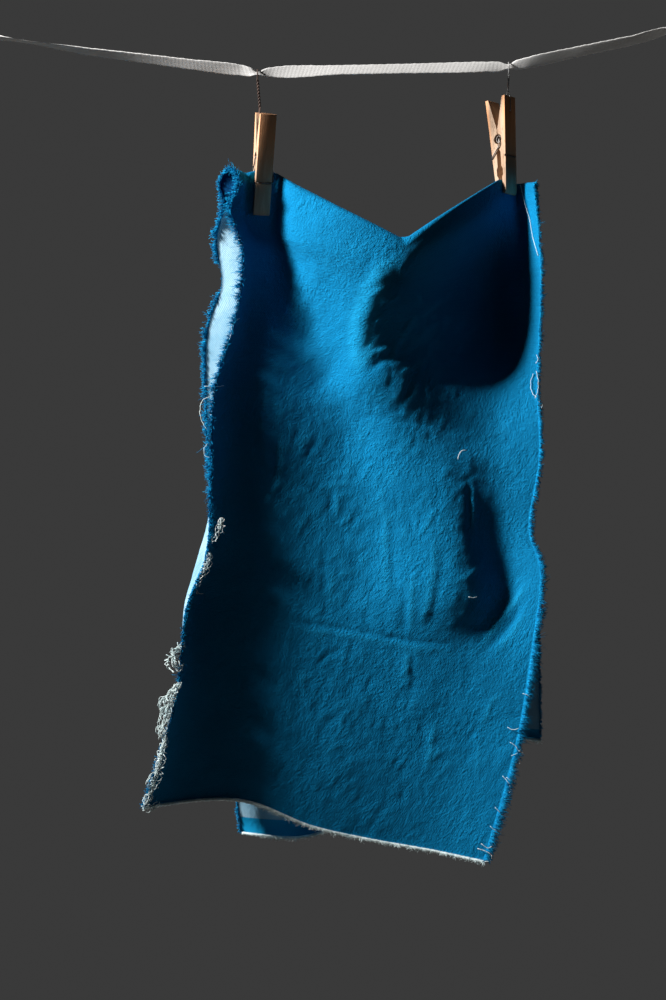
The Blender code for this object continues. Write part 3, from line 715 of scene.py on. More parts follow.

# %% [markdown]
# ## Creases
#
# The cloth was crushed in a bundle before it was hung, and pressed flat in a pile before that. So
# it has long pleats, a few straight press creases, and hundreds of short soft crinkles. The long
# ones are listed: each row is a name, the half width, the rise (negative for a trough), and
# the points that it runs through, where they show from the camera on the upright plane through the
# left knot. The short ones are scattered by patch, thick where the cloth was crushed most, and
# limited in height, so that two that cross don't pile up into a peak.

# %% The long creases
CREASES = (
    ("upper press", 2.4, -0.28, ((276, -298), (340, -310), (412, -323))),
    ("pocket edge", 7.0, 2.7, ((330, -170), (311, -203), (302, -227), (300, -259), (302, -276))),
    ("lower press", 2.4, -0.75,
     ((214, -460), (262, -471), (292, -475), (338, -484), (364, -486), (398, -494))),
    ("lower press lip", 2.8, 0.42, ((214, -464), (262, -475.5), (292, -479.5), (338, -488), (390, -494))),
    ("middle trough", 2.5, -0.83, ((278.5, -362), (277, -372), (275, -386))),
    ("middle trough's ridge", 2.4, 0.44, ((283, -364), (282, -376), (279.5, -388))),
    ("middle trough below", 2.2, -0.44, ((287, -392), (287.5, -402), (287, -414))),
    ("middle ridge", 2.6, 0.44, ((278, -415), (277, -435), (276.5, -458))),
    ("middle ridge's trough", 2.6, -0.44, ((272, -400), (271, -430), (270.5, -460))),
    ("centre ridge", 4.2, 0.5, ((320, -368), (320.5, -410), (321, -455))),
    ("centre trough", 4.0, -0.5, ((326, -384), (327.5, -420), (329, -455))),
    ("right ridge", 2.8, 0.55, ((342, -424), (341.5, -455), (339.5, -484))),
    ("right trough", 2.4, -0.61, ((335.5, -436), (335, -460), (336, -484))),
    ("far trough", 3.0, -0.6, ((368, -404), (364.5, -436), (360, -458), (353, -482))),
    ("far ridge", 3.2, 0.55, ((361, -395), (358, -430), (354, -455), (347, -478))),
    ("short trough", 2.4, -0.5, ((305, -456), (306, -468), (308.5, -479))),
    ("hook", 2.0, 0.44, ((369, -438), (384, -434), (396, -425), (402, -411))),
    ("sharp fold", 1.9, -0.83, ((386.5, -352), (387.5, -380), (386.5, -402))),
    ("sharp fold's lip", 1.9, 0.5, ((390.5, -352), (391, -378), (390.5, -402))),
    ("pleat one trough", 2.8, -0.66, ((386, -484), (404, -461), (421, -443))),
    ("pleat one ridge", 2.6, 0.83, ((393, -494), (411, -469), (424, -453), (438, -434))),
    ("pleat two trough", 2.4, -0.94, ((396, -498), (412, -481), (425, -464), (437, -443))),
    ("pleat two ridge", 3.6, 0.55, ((404, -496), (421, -480), (433, -456))),
    ("low trough", 3.0, -0.3, ((357, -534), (352.5, -555), (348, -578), (348, -593))),
    ("low ridge", 2.6, 0.61, ((362, -541), (357, -566), (353, -592))),
    ("low second trough", 2.8, -0.2, ((362, -504), (360, -518), (357.5, -532))),
    ("low left ridge", 3.0, 0.55, ((337.5, -486), (338, -505), (337.5, -525))),
    ("low left trough", 3.0, -0.3, ((342, -493), (342, -512), (341, -533))),
    ("thin ridge", 1.8, 0.61, ((395, -555), (401, -544), (405.5, -532), (417, -524))),
    ("thin ridge's trough", 2.2, -0.5, ((382, -568), (390, -559), (397, -550))),
    ("hem trough", 2.8, -0.25, ((333.5, -594), (334, -608), (333.5, -622))),
    ("hem trough left", 2.8, -0.25, ((325, -606), (319, -617), (313, -628))),
    ("hem ridge", 2.2, 0.39, ((356, -584), (360, -576), (365, -568))),
    ("side step", 2.0, 0.39, ((395.5, -555), (394.5, -575), (393.5, -597))),
    ("slit", 1.4, -0.33, ((407, -580.5), (411, -580), (416, -578.5))),
    ("low far left", 2.4, -0.5, ((229, -598), (236, -589), (244, -579))),
    ("left diagonal", 2.2, 0.44, ((244, -521), (254, -515), (265, -510))),
    ("left diagonal trough", 2.2, -0.66, ((263, -506), (275, -494), (290, -490))),
    ("left tick", 2.6, -0.35, ((268, -566), (269, -556), (276, -547), (289, -543))),
    ("left crease", 2.6, -0.55, ((234, -314), (233, -345), (227, -369))),
    ("left crease's ridge", 2.4, 0.39, ((238, -318), (237, -345), (231, -372))),
    ("rising crinkle", 2.2, -0.5, ((245, -356), (256, -338), (269, -318))),
    ("bent crinkle", 2.0, 0.44, ((223, -378), (232, -361), (243, -356))),
    ("flat crinkle", 1.8, 0.39, ((271, -364), (281, -359), (293, -356))),
    ("pocket floor", 2.2, 0.77, ((299, -264), (313, -252), (323, -250), (335, -251))),
    ("pocket floor shade", 3.6, -0.99, ((302, -272), (318, -259), (334, -258))),
    ("pocket ridge one", 2.2, 0.66, ((346, -230), (356, -219), (367, -208))),
    ("pocket ridge two", 2.2, 0.66, ((344, -245), (356, -234), (369, -222))),
    ("pocket ridge three", 2.0, 0.55, ((352, -253), (359, -245), (367, -238))),
    ("pocket ridge four", 2.2, 0.55, ((326, -248), (339, -232), (347, -218))),
    ("pocket brow", 2.4, -0.66, ((300, -212), (309, -202), (323, -198.5))),
    ("pocket tail", 2.6, -0.66, ((333, -298), (340, -278), (349, -262))),
    ("brow one", 1.8, -0.33, ((295, -170), (302, -163), (309, -156))),
    ("brow two", 1.9, -0.44, ((303, -190), (308, -180), (313, -170))),
    ("brow three", 1.9, -0.39, ((319, -182), (326, -174), (333, -165))),
)

# %% Where the short crinkles lie
# name, middle, radius, how many, how strong
CRUSHED = (
    ("pocket", (346, -236), 40, 70, 1.6),
    ("below the pocket", (340, -292), 42, 70, 1.0),
    ("middle", (290, -360), 56, 110, 0.8),
    ("left of the middle", (252, -330), 40, 60, 0.8),
    ("right of the middle", (350, -392), 46, 70, 0.8),
    ("above the press", (270, -432), 56, 80, 0.75),
    ("low left", (262, -528), 52, 90, 0.7),
    ("low middle", (322, -548), 54, 90, 0.65),
    ("low right", (384, -576), 40, 45, 0.6),
    ("top left", (268, -176), 46, 50, 0.5),
    ("right margin", (420, -330), 26, 20, 0.5),
    ("hem", (300, -610), 60, 50, 0.6),
)
CRINKLE_LENGTH = (8.0, 23.0)
CRINKLE_HALF = (1.7, 2.6)
CRINKLE_RISE = (0.12, 0.42)
CRINKLE_SLANT, CRINKLE_SPREAD = 58, 26
CRINKLE_BOW = 0.3
CRINKLE_MOST = 0.58
RIDGE_SHARE = 0.55
print(len(CREASES), "long creases,", sum(row[3] for row in CRUSHED), "crinkles")

# %% Raising the creases
CREASE_REACH = 3
CREASE_FADE = 0.35


def raise_crease(heights, spots, line, half, rise):
    """Adds a soft ridge or trough along a line to these heights. It fades out at both ends."""
    line = np.array(line, float)
    low, high = line.min(axis=0) - CREASE_REACH * half, line.max(axis=0) + CREASE_REACH * half
    near = np.flatnonzero(((spots > low) & (spots < high)).all(axis=1))
    if not len(near):
        return
    here, runs = spots[near], running_length(line)
    best, along = np.full(len(near), 1e9), np.zeros(len(near))
    for start, end, run in zip(line[:-1], line[1:], runs):
        way = end - start
        t = np.clip(((here - start) @ way) / way.dot(way), 0, 1)
        gap = np.linalg.norm(here - start - t[:, None] * way, axis=1)
        closer = gap < best
        best[closer], along[closer] = gap[closer], (run + t * np.linalg.norm(way))[closer]
    fade = eased(np.minimum(along, runs[-1] - along) / (CREASE_FADE * runs[-1]))
    heights[near] += rise * np.exp(-((best / half) ** 2)) * fade


def scatter_crinkles(heights, spots, patches, chance, scale=1.0):
    """Short bent creases, mostly rising to the right, as many in each patch as it says."""
    for _, middle, radius, count, strength in patches:
        for _ in range(count):
            spot = np.array(middle) + chance.normal(0, radius * 0.5, 2)
            slant = math.radians(chance.normal(CRINKLE_SLANT, CRINKLE_SPREAD))
            length = chance.uniform(*CRINKLE_LENGTH) * scale
            way = np.array((math.cos(slant), math.sin(slant))) * length / 2
            bow = np.array((-way[1], way[0])) * chance.uniform(-CRINKLE_BOW, CRINKLE_BOW)
            rise = chance.uniform(*CRINKLE_RISE) * strength * scale
            rise *= 1 if chance.random() < RIDGE_SHARE else -1
            half = chance.uniform(*CRINKLE_HALF) * scale
            raise_crease(heights, spots, (spot - way, spot + bow, spot + way), half, rise)


print("one half width away a crease keeps", round(math.exp(-1), 2), "of its rise")


def shows_at(points):
    """Where points show from the camera, on the upright plane through the left knot."""
    share = (points[..., 1] - EYE[1]) / -EYE[1]
    return np.stack([EYE[k] + (points[..., k] - EYE[k]) / share for k in (0, 2)], axis=-1)


def rumple(points, size, depth, seed):
    """Soft uneven hollows: noise with features about `size` mm wide."""
    shift = Vector((seed * 31.7, seed * 17.3, seed * 7.9))
    values = [noise.noise(Vector(point) / size + shift) for point in points]
    return np.array(values) * depth


# %% The relief of the whole sheet
# width and depth of the soft hollows that lie over everything
RUMPLES = ((34, 0.25), (13, 0.25), (6, 0.24))

flat_points = sheet.reshape(-1, 3)
row_of = np.repeat(np.arange(len(sheet)), ACROSS + 1)
is_front = row_of < ON_FRONT
chance = np.random.default_rng(11)

front_relief = np.zeros(is_front.sum())
front_spots = shows_at(flat_points[is_front])
for _, half, rise, line in CREASES:
    raise_crease(front_relief, front_spots, line, half, rise)
crinkles = np.zeros(is_front.sum())
scatter_crinkles(crinkles, front_spots, CRUSHED, chance)
front_relief += CRINKLE_MOST * np.tanh(crinkles / CRINKLE_MOST)

BACK_CRUSHED = (
    ("upper back", (330, -250), 80, 60, 0.8),
    ("middle back", (320, -400), 90, 70, 0.8),
    ("lower back", (330, -530), 80, 50, 0.8),
)
back_relief = np.zeros((~is_front).sum())
scatter_crinkles(back_relief, flat_points[~is_front][:, [0, 2]], BACK_CRUSHED, chance, scale=2.2)

relief = np.zeros(len(flat_points))
relief[is_front] = front_relief
relief[~is_front] = back_relief
crisp = relief.copy()
relief += sum(rumple(flat_points, size, depth, seed) for seed, (size, depth) in enumerate(RUMPLES, 1))
print("creases raise", round(relief.max(), 2), "and sink", round(-relief.min(), 2), "mm")

# %% [markdown]
# The relief must die out where the pegs clamp the cloth and along the fold, and the two layers
# mustn't meet where they hang close together. So it is limited by the room that each point has.

# %% Room for the relief
# the last millimetres between the layers' middle surfaces, which the relief never uses
LAYER_ROOM = 1.6
PEG_FADE = 16.0
FOLD_FADE_ROWS = 9

rows_normal = unit(np.cross(np.gradient(sheet, axis=1), np.gradient(sheet, axis=0)))
free = np.ones(sheet.shape[:2])
for pin in PINS.values():
    free *= 1 - held_share(sheet, pin, PEG_FADE)[0]
from_fold = np.abs(np.arange(len(sheet)) - (ON_FRONT + FOLD_STEPS / 2))[:, None]
free = free * eased((from_fold - FOLD_STEPS / 2 - 1) / FOLD_FADE_ROWS)

trees = {}
for front in (True, False):
    chosen = np.flatnonzero(is_front == front)
    trees[front] = kdtree.KDTree(len(chosen))
    for k in chosen:
        trees[front].insert(Vector(flat_points[k]), int(k))
    trees[front].balance()
gap = np.array([trees[not front].find(Vector(point))[2] for point, front in zip(flat_points, is_front)])
room = np.maximum(gap - LAYER_ROOM, 0) / 2
lift = relief * free.ravel()
lift = np.sign(lift) * room * np.tanh(np.abs(lift) / np.maximum(room, 0.01))
sheet = sheet + rows_normal * lift.reshape(sheet.shape[:2])[..., None]
print("relief of", round(lift.min(), 2), "to", round(lift.max(), 2), "mm; where it is wholly free the layers")
print("hung", round(gap[free.ravel() == 1].min(), 2), "mm apart or more before it was added")

# %% [markdown]
# ## Denim, right side and wrong side
#
# Denim is a twill: blue warp threads float over three white weft threads, each row a step aside, so
# diagonal lines run up to the right. The right side is nearly all warp, and the wrong side nearly
# all weft, so it is pale. Here the warp runs across and the weft down, because the cut edges fray
# into blue ends. The colour is darkest between the threads, paler where a crease has rubbed, and
# streaked along the warp, because no yarn takes the dye evenly. Creasing finer than the mesh and the
# cloth's pimply grain are bumps, with their real height in metres. Cotton hardly shines, so the sheen
# is almost none: the usual one would lay a grey veil over the blue.

# %% The denim finishes
TWILL_PITCH = 0.0017
THREAD = 0.00057
SELVEDGE_BAND = 0.0105
# how far from the fold the painted shade inside its open left end reaches, in metres
FOLD_SHADE_REACH = 0.034
CLOTH_SHEEN = 0.06


def twill(finish, across, down, hand):
    """Height of the twill lines and of the threads that they are made of, each 0 to 1."""
    lines = (across + down * hand).wave(TWILL_PITCH)
    threads = down.wave(THREAD) * across.wave(THREAD * 2)
    return lines, threads


def crackle(finish, spot, scale, seed):
    """Fine sharp creasing, drawn out along the lower left to upper right."""
    turned = finish.moved(spot, turn=(0, 0, math.radians(-58)), at=(seed, seed, 0))
    stretched = finish.moved(turned, scale=(scale * 0.7, scale, 1))
    return finish.noise(stretched, 1, detail=4, rough=0.62, warp=0.15).ridge() ** 1.3


def denim_finish():
    finish = Finish("denim right side", roughness=0.88, Specular_IOR_Level=CLOTH_SHEEN)
    spot, across, down = finish.flat()
    lines, threads = twill(finish, across, down, 1)
    worn = finish.add("Attribute", {"attribute_name": "worn"}, output=2)
    streak = finish.noise(finish.moved(spot, scale=(22, 1500, 1)), 1, detail=2)
    cloud = finish.noise(spot, 26, detail=3)
    grain = finish.noise(spot, 1500, detail=1)
    colour = finish.mix(cloud.between(0.3, 0.7), (0.0015, 0.180, 0.385), (0.002, 0.217, 0.46))
    colour = finish.mix(streak.between(0.35, 0.7) * 0.35, colour, (0.004, 0.27, 0.55))
    colour = finish.mix((1 - lines) * 0.30, colour, (0.001, 0.085, 0.21))
    colour = finish.mix(grain.between(0.58, 0.70) * (1 - lines) * 0.5, colour, (0.03, 0.42, 0.67))
    colour = finish.mix(worn * 0.5, colour, (0.010, 0.32, 0.60))
    pimples = finish.noise(spot, 620, detail=2, rough=0.6)
    small, large = crackle(finish, spot, 400, 0.0), crackle(finish, spot, 170, 0.4)
    fine = small * 0.6 + large * (0.6 + cloud.between(0.35, 0.6)) + pimples * 0.9
    relief = finish.bump(fine, 0.0008)
    normal = finish.bump(lines * 0.6 + threads * 0.4 + grain * 1.2, 0.00022, relief)
    return finish.wear(colour=colour, normal=normal, roughness=0.82 + grain * 0.12)


def wrong_side_finish(length, fold_at):
    finish = Finish("denim wrong side", roughness=0.9, Specular_IOR_Level=CLOTH_SHEEN)
    spot, across, down = finish.flat()
    lines, threads = twill(finish, across, down, -1)
    grain = finish.noise(spot, 1500, detail=1)
    cloud = finish.noise(spot, 30, detail=3)
    colour = finish.mix(cloud.between(0.35, 0.65), (0.24, 0.45, 0.56), (0.40, 0.60, 0.68))
    colour = finish.mix((1 - lines) * 0.6, colour, (0.05, 0.22, 0.40))
    colour = finish.mix(grain.between(0.55, 0.7) * 0.35, colour, (0.70, 0.82, 0.86))
    edge = 1 - down.between(SELVEDGE_BAND - 0.0004, SELVEDGE_BAND + 0.0004)
    edge = edge + down.between(length - SELVEDGE_BAND - 0.0004, length - SELVEDGE_BAND + 0.0004)
    colour = finish.mix(edge, colour, (0.004, 0.24, 0.46))
    # painted shade: near the fold and by the left edge, the pale wrong side is coloured near-black blue,
    # standing in for the shade inside the fold's open end
    fold_end_shade = 1 - (down - fold_at).maths("ABSOLUTE").between(FOLD_SHADE_REACH - 0.004, FOLD_SHADE_REACH)
    colour = finish.mix(fold_end_shade * (1 - across.between(0.022, 0.034)), colour, (0.001, 0.05, 0.15))
    relief = finish.bump(crackle(finish, spot, 240, 0.7), 0.0004)
    normal = finish.bump(lines * 0.6 + threads * 0.4, 0.00016, relief)
    return finish.wear(colour=colour, normal=normal)


DENIM = denim_finish()
DENIM_BACK = wrong_side_finish(down_at[-1] * MM, down_at[ON_FRONT + FOLD_STEPS // 2] * MM)
print("finishes:", DENIM.name, "and", DENIM_BACK.name)

# %% [markdown]
# ## The sheet itself
#
# The two faces of the cloth are the middle surface moved out and in by half its thickness. The
# right side carries all the fine relief, so it keeps every point. The wrong side hardly shows and
# takes every second one. A row of five-cornered faces round the rim sews the two together, so that
# the sheet is closed.

# %% Two faces and a rim
THICK = 1.0

final_normal = unit(np.cross(np.gradient(sheet, axis=1), np.gradient(sheet, axis=0)))
outer = sheet + final_normal * THICK / 2
inner = (sheet - rows_normal * THICK / 2)[::2, ::2]
rows, columns = outer.shape[:2]
half_rows, half_columns = inner.shape[:2]
print("the front's normal runs along Y by", round(float(final_normal[60, 60, 1]), 2))


def grid_faces(rows, columns, start=0, turned=False):
    faces = []
    for i in range(rows - 1):
        for j in range(columns - 1):
            a = start + i * columns + j
            corners = (a, a + columns, a + columns + 1, a + 1)
            faces.append(corners[::-1] if turned else corners)
    return faces


outer_faces = grid_faces(rows, columns)
start = rows * columns
inner_faces = grid_faces(half_rows, half_columns, start, turned=True)


def rim(outer_row, inner_row, turned):
    """Five-cornered faces from every two steps of the fine rim to one of the coarse rim."""
    faces = []
    for k in range(len(inner_row) - 1):
        corners = (*outer_row[2 * k : 2 * k + 3], inner_row[k + 1], inner_row[k])
        faces.append(corners[::-1] if turned else corners)
    return faces


outer_ids = np.arange(rows * columns).reshape(rows, columns).tolist()
inner_ids = (start + np.arange(half_rows * half_columns)).reshape(half_rows, half_columns).tolist()
left, right = ([row[side] for row in outer_ids] for side in (0, -1))
inner_left, inner_right = ([row[side] for row in inner_ids] for side in (0, -1))
rim_faces = rim(outer_ids[0], inner_ids[0], True) + rim(outer_ids[-1], inner_ids[-1], False)
rim_faces += rim(left, inner_left, False) + rim(right, inner_right, True)

across_at = shares * across_length
outer_uv = np.stack(np.broadcast_arrays(across_at[None, :], down_at[:, None]), axis=-1)
sheet_uv = np.concatenate([outer_uv.reshape(-1, 2), outer_uv[::2, ::2].reshape(-1, 2)]) * MM
sheet_points = np.concatenate([outer.reshape(-1, 3), inner.reshape(-1, 3)])
sheet_faces = outer_faces + inner_faces + rim_faces
sides = [0] * len(outer_faces) + [1] * len(inner_faces) + [0] * len(rim_faces)
cloth = mesh_piece("denim_sheet", sheet_points, sheet_faces, [DENIM, DENIM_BACK], sides, sheet_uv)

RUBBED_RISE = 0.8
rubbed = np.clip(crisp * free.ravel() / RUBBED_RISE, 0, 1)
worn = np.concatenate([rubbed, rubbed.reshape(rows, columns)[::2, ::2].ravel()])
cloth.data.attributes.new("worn", "FLOAT", "POINT").data.foreach_set("value", worn.astype(np.float32))
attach(cloth, "root")
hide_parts("denim_cloth")
triangles = sum(len(face) - 2 for face in sheet_faces)
print("denim sheet:", triangles, "triangles")

# %% [markdown]
# ## Yarns for the frayed edges
#
# Where denim is cut across its warp the white weft drops out and leaves a short blue fringe. Where
# it is torn, pale weft hangs on in loops and tangles. The selvedges keep a soft white fuzz. All of
# it is yarn, matt and slightly uneven.

# %% The yarn finishes
YARN_SHEEN = 0.08


def yarn_finish(name, light, dark, deepest):
    finish = Finish(name, roughness=0.92, Specular_IOR_Level=YARN_SHEEN)
    along = finish.noise(finish.place(), 600, detail=2)
    patch = finish.noise(finish.place(), 130, detail=2)
    colour = finish.mix(along.between(0.38, 0.56), light, dark)
    colour = finish.mix(patch.between(0.45, 0.75) * 0.55, colour, deepest)
    return finish.wear(colour=colour, normal=finish.bump(along, 0.0001))


# painted light and shade: the right edge's yarn is paler, as painted light on the fringe that the lamp leaves
# in shade, and the left edge's is darker, as painted shade on the fringe that it lights
# light, dark and deepest colour
WARP_COLOURS_WITH_PAINTED_SHADING = {
    "left": ((0.006, 0.32, 0.60), (0.0005, 0.13, 0.30), (0.0005, 0.06, 0.17)),
    "right": ((0.008, 0.32, 0.58), (0.002, 0.20, 0.42), (0.001, 0.11, 0.28)),
}
WARP_YARNS_WITH_PAINTED_SHADING = {side: yarn_finish(f"blue warp yarn with painted shading {side}", *colours) for side, colours in WARP_COLOURS_WITH_PAINTED_SHADING.items()}
WEFT_YARN = yarn_finish("pale weft yarn", (0.86, 0.95, 0.93), (0.66, 0.78, 0.77), (0.34, 0.52, 0.58))

# %% [markdown]
# A fringe is thousands of short threads. Each is a three-sided tapering tube, and all are made at
# once as arrays: a root, a heading, a length and a bend. Neighbours lean together into small teeth,
# as damp yarn does, and each thread strays a little out of the cloth's plane. All of them stand
# somewhat forward of it, or the edge that they grow from would keep the side light off them.

# %% Short threads by the thousand
THREAD_TAPER = 0.35


def short_threads(roots, heads, lengths, bends, thick, sections=2):
    """Three-sided tapering threads as (points, faces)."""
    t = np.linspace(0, 1, sections + 1)
    straight = heads[:, None] * (lengths[:, None] * t)[..., None]
    line = roots[:, None] + straight + bends[:, None] * (t**2)[None, :, None]
    side = unit(np.cross(heads, (0.37, 0.22, 0.9)))
    other = np.cross(heads, side)
    rings = []
    for k in range(3):
        angle = 2 * math.pi * k / 3
        way = side * math.cos(angle) + other * math.sin(angle)
        rings.append(line + way[:, None] * (thick[:, None] / 2 * (1 - THREAD_TAPER * t))[..., None])
    points = np.stack(rings, axis=2).reshape(-1, 3)
    per_thread = 3 * (sections + 1)
    pattern = [(2, 1, 0), (per_thread - 3, per_thread - 2, per_thread - 1)]
    for base in range(0, 3 * sections, 3):
        pattern += [(base + k, base + (k + 1) % 3, base + 3 + (k + 1) % 3, base + 3 + k) for k in range(3)]
    faces = []
    for start in range(0, len(points), per_thread):
        faces += [tuple(corner + start for corner in face) for face in pattern]
    return points, faces


foot, upward, one = np.zeros((1, 3)), np.array([(0, 0, 1.0)]), np.ones(1)
print("one short thread has", len(short_threads(foot, upward, one, foot, one)[1]), "faces")


# %% A fringe along an edge
# shares of the longest thread: of each tooth, and of each thread within a tooth
TOOTH_LENGTH, THREAD_LENGTH = (0.4, 1.2), (0.4, 1.0)
TOOTH_PULL = 0.8
STRAY, DROOP = 0.3, 0.12
ROOT_DEPTH, ROOT_SPREAD = 0.7, 0.32


def fringe(edge, out, normal, per_mm, reach, clump, thick, lean, forward, chance):
    """Short threads along an edge. Each edge point has its own longest thread (reach) and lean."""
    run = running_length(edge)
    at = np.sort(chance.uniform(0, run[-1], int(run[-1] * per_mm)))

    def at_roots(vectors):
        return np.column_stack([np.interp(at, run, column) for column in vectors.T])

    roots, ways, faces_way = at_roots(edge), at_roots(out), at_roots(normal)
    along = unit(at_roots(np.gradient(edge, axis=0)))
    teeth = np.cumsum(chance.uniform(*clump, int(run[-1] / clump[0]) + 2))
    nearest = np.abs(teeth[None, :] - at[:, None]).argmin(axis=1)
    tooth_length = chance.uniform(*TOOTH_LENGTH, len(teeth))[nearest]
    longest, lean = np.interp(at, run, reach), np.interp(at, run, lean)
    lengths = longest * tooth_length * chance.uniform(*THREAD_LENGTH, len(at))
    pull = (teeth[nearest] - at) / np.maximum(lengths, 0.5)
    heads = unit(
        ways
        + along * (pull * TOOTH_PULL + chance.normal(0, STRAY, len(at)))[:, None]
        + faces_way * chance.normal(0, lean, len(at))[:, None]
        + np.array((0, -forward, 0))
    )
    bends = faces_way * chance.normal(0, STRAY, len(at))[:, None]
    bends = bends + along * chance.normal(0, STRAY, len(at))[:, None]
    bends = (bends + np.array((0, 0, -DROOP))) * lengths[:, None]
    aside = chance.uniform(-ROOT_SPREAD, ROOT_SPREAD, len(at))
    roots = roots - ways * ROOT_DEPTH + faces_way * aside[:, None]
    return short_threads(roots, heads, lengths + ROOT_DEPTH, bends, chance.uniform(*thick, len(at)))


# %% [markdown]
# ## Threads placed one by one
#
# Longer threads are listed one by one: each has the places that it shows at in the picture's plane, and
# how far it stands off the cloth behind it. Their depth is the cloth's own, looked up at that place.

# %% Looking up the cloth's depth


def behind(x, z, depth):
    """The point at this depth that shows at (x, z) on the upright plane through the left knot."""
    share = (depth - EYE[1]) / -EYE[1]
    return np.array((EYE[0] + (x - EYE[0]) * share, depth, EYE[2] + (z - EYE[2]) * share))


def depth_finder(points):
    """A function from where a place shows to the depth of the nearest of these points."""
    shown = shows_at(points.reshape(-1, 3))
    depths = points.reshape(-1, 3)[:, 1]
    tree = kdtree.KDTree(len(shown))
    for k, (x, z) in enumerate(shown):
        tree.insert((x, z, 0), k)
    tree.balance()
    return lambda x, z: depths[tree.find((x, z, 0))[1]]


front_depth = depth_finder(outer[:ON_FRONT])
back_depth = depth_finder(outer[ON_FRONT + FOLD_STEPS :])
print("the front's middle stands", round(float(-front_depth(300, -400)), 1), "mm before the knots")

# %% Lines that wander as yarn does
# millimetres from its root to where a thread strays freely
FREE_AFTER = 3


def wandering(places, step, sway, chance):
    """A smooth line through these places that wanders a little, as loose yarn does."""
    places = np.array(places, float)
    run = running_length(places)
    at = np.linspace(0, run[-1], max(6, int(run[-1] / step)))
    line = smooth_through(run, places, at)
    for axis in range(3):
        length, shift = chance.uniform(3, 8), chance.uniform(0, 6.3)
        wave = np.sin(at * 2 * math.pi / length + shift) * eased(at / FREE_AFTER)
        line[:, axis] += sway * chance.uniform(0.5, 1) * wave
    return line


# %% Threads listed one by one
# where they lie, how far they stand off, thickness, and the places that they show at
THREADS = (
    ("front", 0.9, 0.55, ((428.4, -119), (431, -131), (435.5, -146), (438, -160), (442.5, -176))),
    ("front", 1.2, 0.5, ((203.5, -226), (200.5, -228), (198, -230.5), (197, -238), (195, -244))),
    ("front", 1.5, 0.42, ((191, -279.8), (184, -280.6), (175.5, -280))),
    ("front", 1.6, 0.5, ((180, -288.5), (174.5, -291), (172, -299), (173.5, -308), (178, -315.5))),
    ("front", 1.6, 0.5, ((178, -326), (175.4, -330), (176.2, -336), (180, -337))),
    ("front", 1.4, 0.5, ((438.5, -270), (436.6, -277), (438.2, -286), (441.5, -289))),
    ("front", 1.4, 0.5, ((441, -268), (442.6, -276), (442.2, -284), (440, -290))),
    ("front", 1.4, 0.45, ((443, -292.5), (446, -294.5), (445, -298))),
    ("front", 1.2, 0.45, ((441.2, -255), (442.4, -259), (440.6, -262))),
    ("front", 1.6, 0.5, ((430, -526), (434.5, -527.5), (437.5, -530.5))),
    ("front", 1.6, 0.5, ((418, -553), (422.5, -555), (427, -553.8))),
    ("front", 1.6, 0.5, ((420, -565), (424.5, -568), (428, -572.5), (431, -573.5))),
    ("front", 1.6, 0.5, ((421, -576), (426, -573.5), (429.5, -570))),
    ("front", 1.6, 0.5, ((414, -592), (418.5, -597), (420.5, -603), (419, -606))),
    ("front", 1.6, 0.45, ((417, -593), (421, -596), (422.2, -600.5))),
    ("front", 1.6, 0.45, ((408, -617), (411.5, -620.5), (413.6, -622))),
    ("front", 1.6, 0.5, ((404, -632), (409, -636), (413.5, -638.5))),
    ("front", 2.0, 0.7, ((394, -650), (400, -652), (405.5, -656), (404, -660), (399.5, -660.5))),
    ("front", 2.0, 0.6, ((397, -646), (402, -649.5), (406.5, -648))),
    ("front", 2.2, 0.55, ((378.3, -338.6), (379.2, -334.6), (381.6, -331.8), (385.2, -331.4))),
    ("front", 1.8, 0.5, ((386.8, -448.6), (390, -449.4), (393.8, -448.6))),
    ("back", -1.0, 0.5, ((441, -553), (443.6, -558), (444.4, -563), (442, -566.5))),
    ("back", -1.0, 0.5, ((446.5, -551), (443, -556), (441, -561.5))),
)
# name, threads, spread, sway, thickness, how far it stands off, and the course that it hangs along
TUFTS = (
    ("knotted tuft", 7, 3.2, 1.44, 0.55, 13.0,
     ((189, -385), (188.2, -391), (186, -398), (183.4, -405))),
    ("ropey tuft", 9, 3.0, 1.44, 0.55, 12.0,
     ((180.5, -413), (178.5, -421), (174.5, -431), (171, -441))),
    ("small loop", 3, 1.4, 0.54, 0.5, 9.0,
     ((172.5, -438), (168.5, -441), (169.5, -445.5), (173.5, -446))),
    ("tangle", 9, 4.2, 1.92, 0.55, 3.0,
     ((159.5, -486), (155, -491), (151, -497), (152.5, -504), (157, -507))),
    ("tangle's loop", 3, 1.4, 0.6, 0.5, 3.0,
     ((158, -488), (150, -493.5), (149, -502), (154.5, -507.5), (158.5, -501))),
    ("bundle", 12, 4.2, 1.8, 0.55, 3.0,
     ((155.5, -518), (149, -527), (145, -538), (142.5, -549), (140, -559))),
    ("bundle's hook", 4, 1.8, 0.72, 0.5, 3.0,
     ((146, -528), (140.5, -531), (140, -537), (144, -542))),
    ("bundle's tail", 4, 2.2, 1.08, 0.5, 3.0,
     ((143, -548), (139, -555), (141.5, -561), (145, -557))),
    ("long tuft", 11, 3.4, 1.68, 0.55, 3.0,
     ((145, -560), (141.5, -574), (138, -588), (134.5, -600), (132, -614))),
    ("long tuft's loop", 3, 1.6, 0.66, 0.5, 3.0,
     ((138.5, -588), (132, -592), (130.5, -599), (136, -602), (139.5, -596))),
    ("long tuft's end", 5, 2.8, 1.32, 0.5, 3.0,
     ((134.5, -603), (129, -608), (128, -614), (134, -617), (138, -611))),
)
YARN_SIDES = 5
TUFT_STEP, THREAD_STEP = 0.9, 1.0
THREAD_SWAY = 0.25
# how far a thread strays from its tuft's course: at the root, and more at each place after it
TUFT_ROOT_STRAY, TUFT_STRAY_STEP = 0.35, 0.5
TUFT_UNEVEN = (0.7, 1.15)


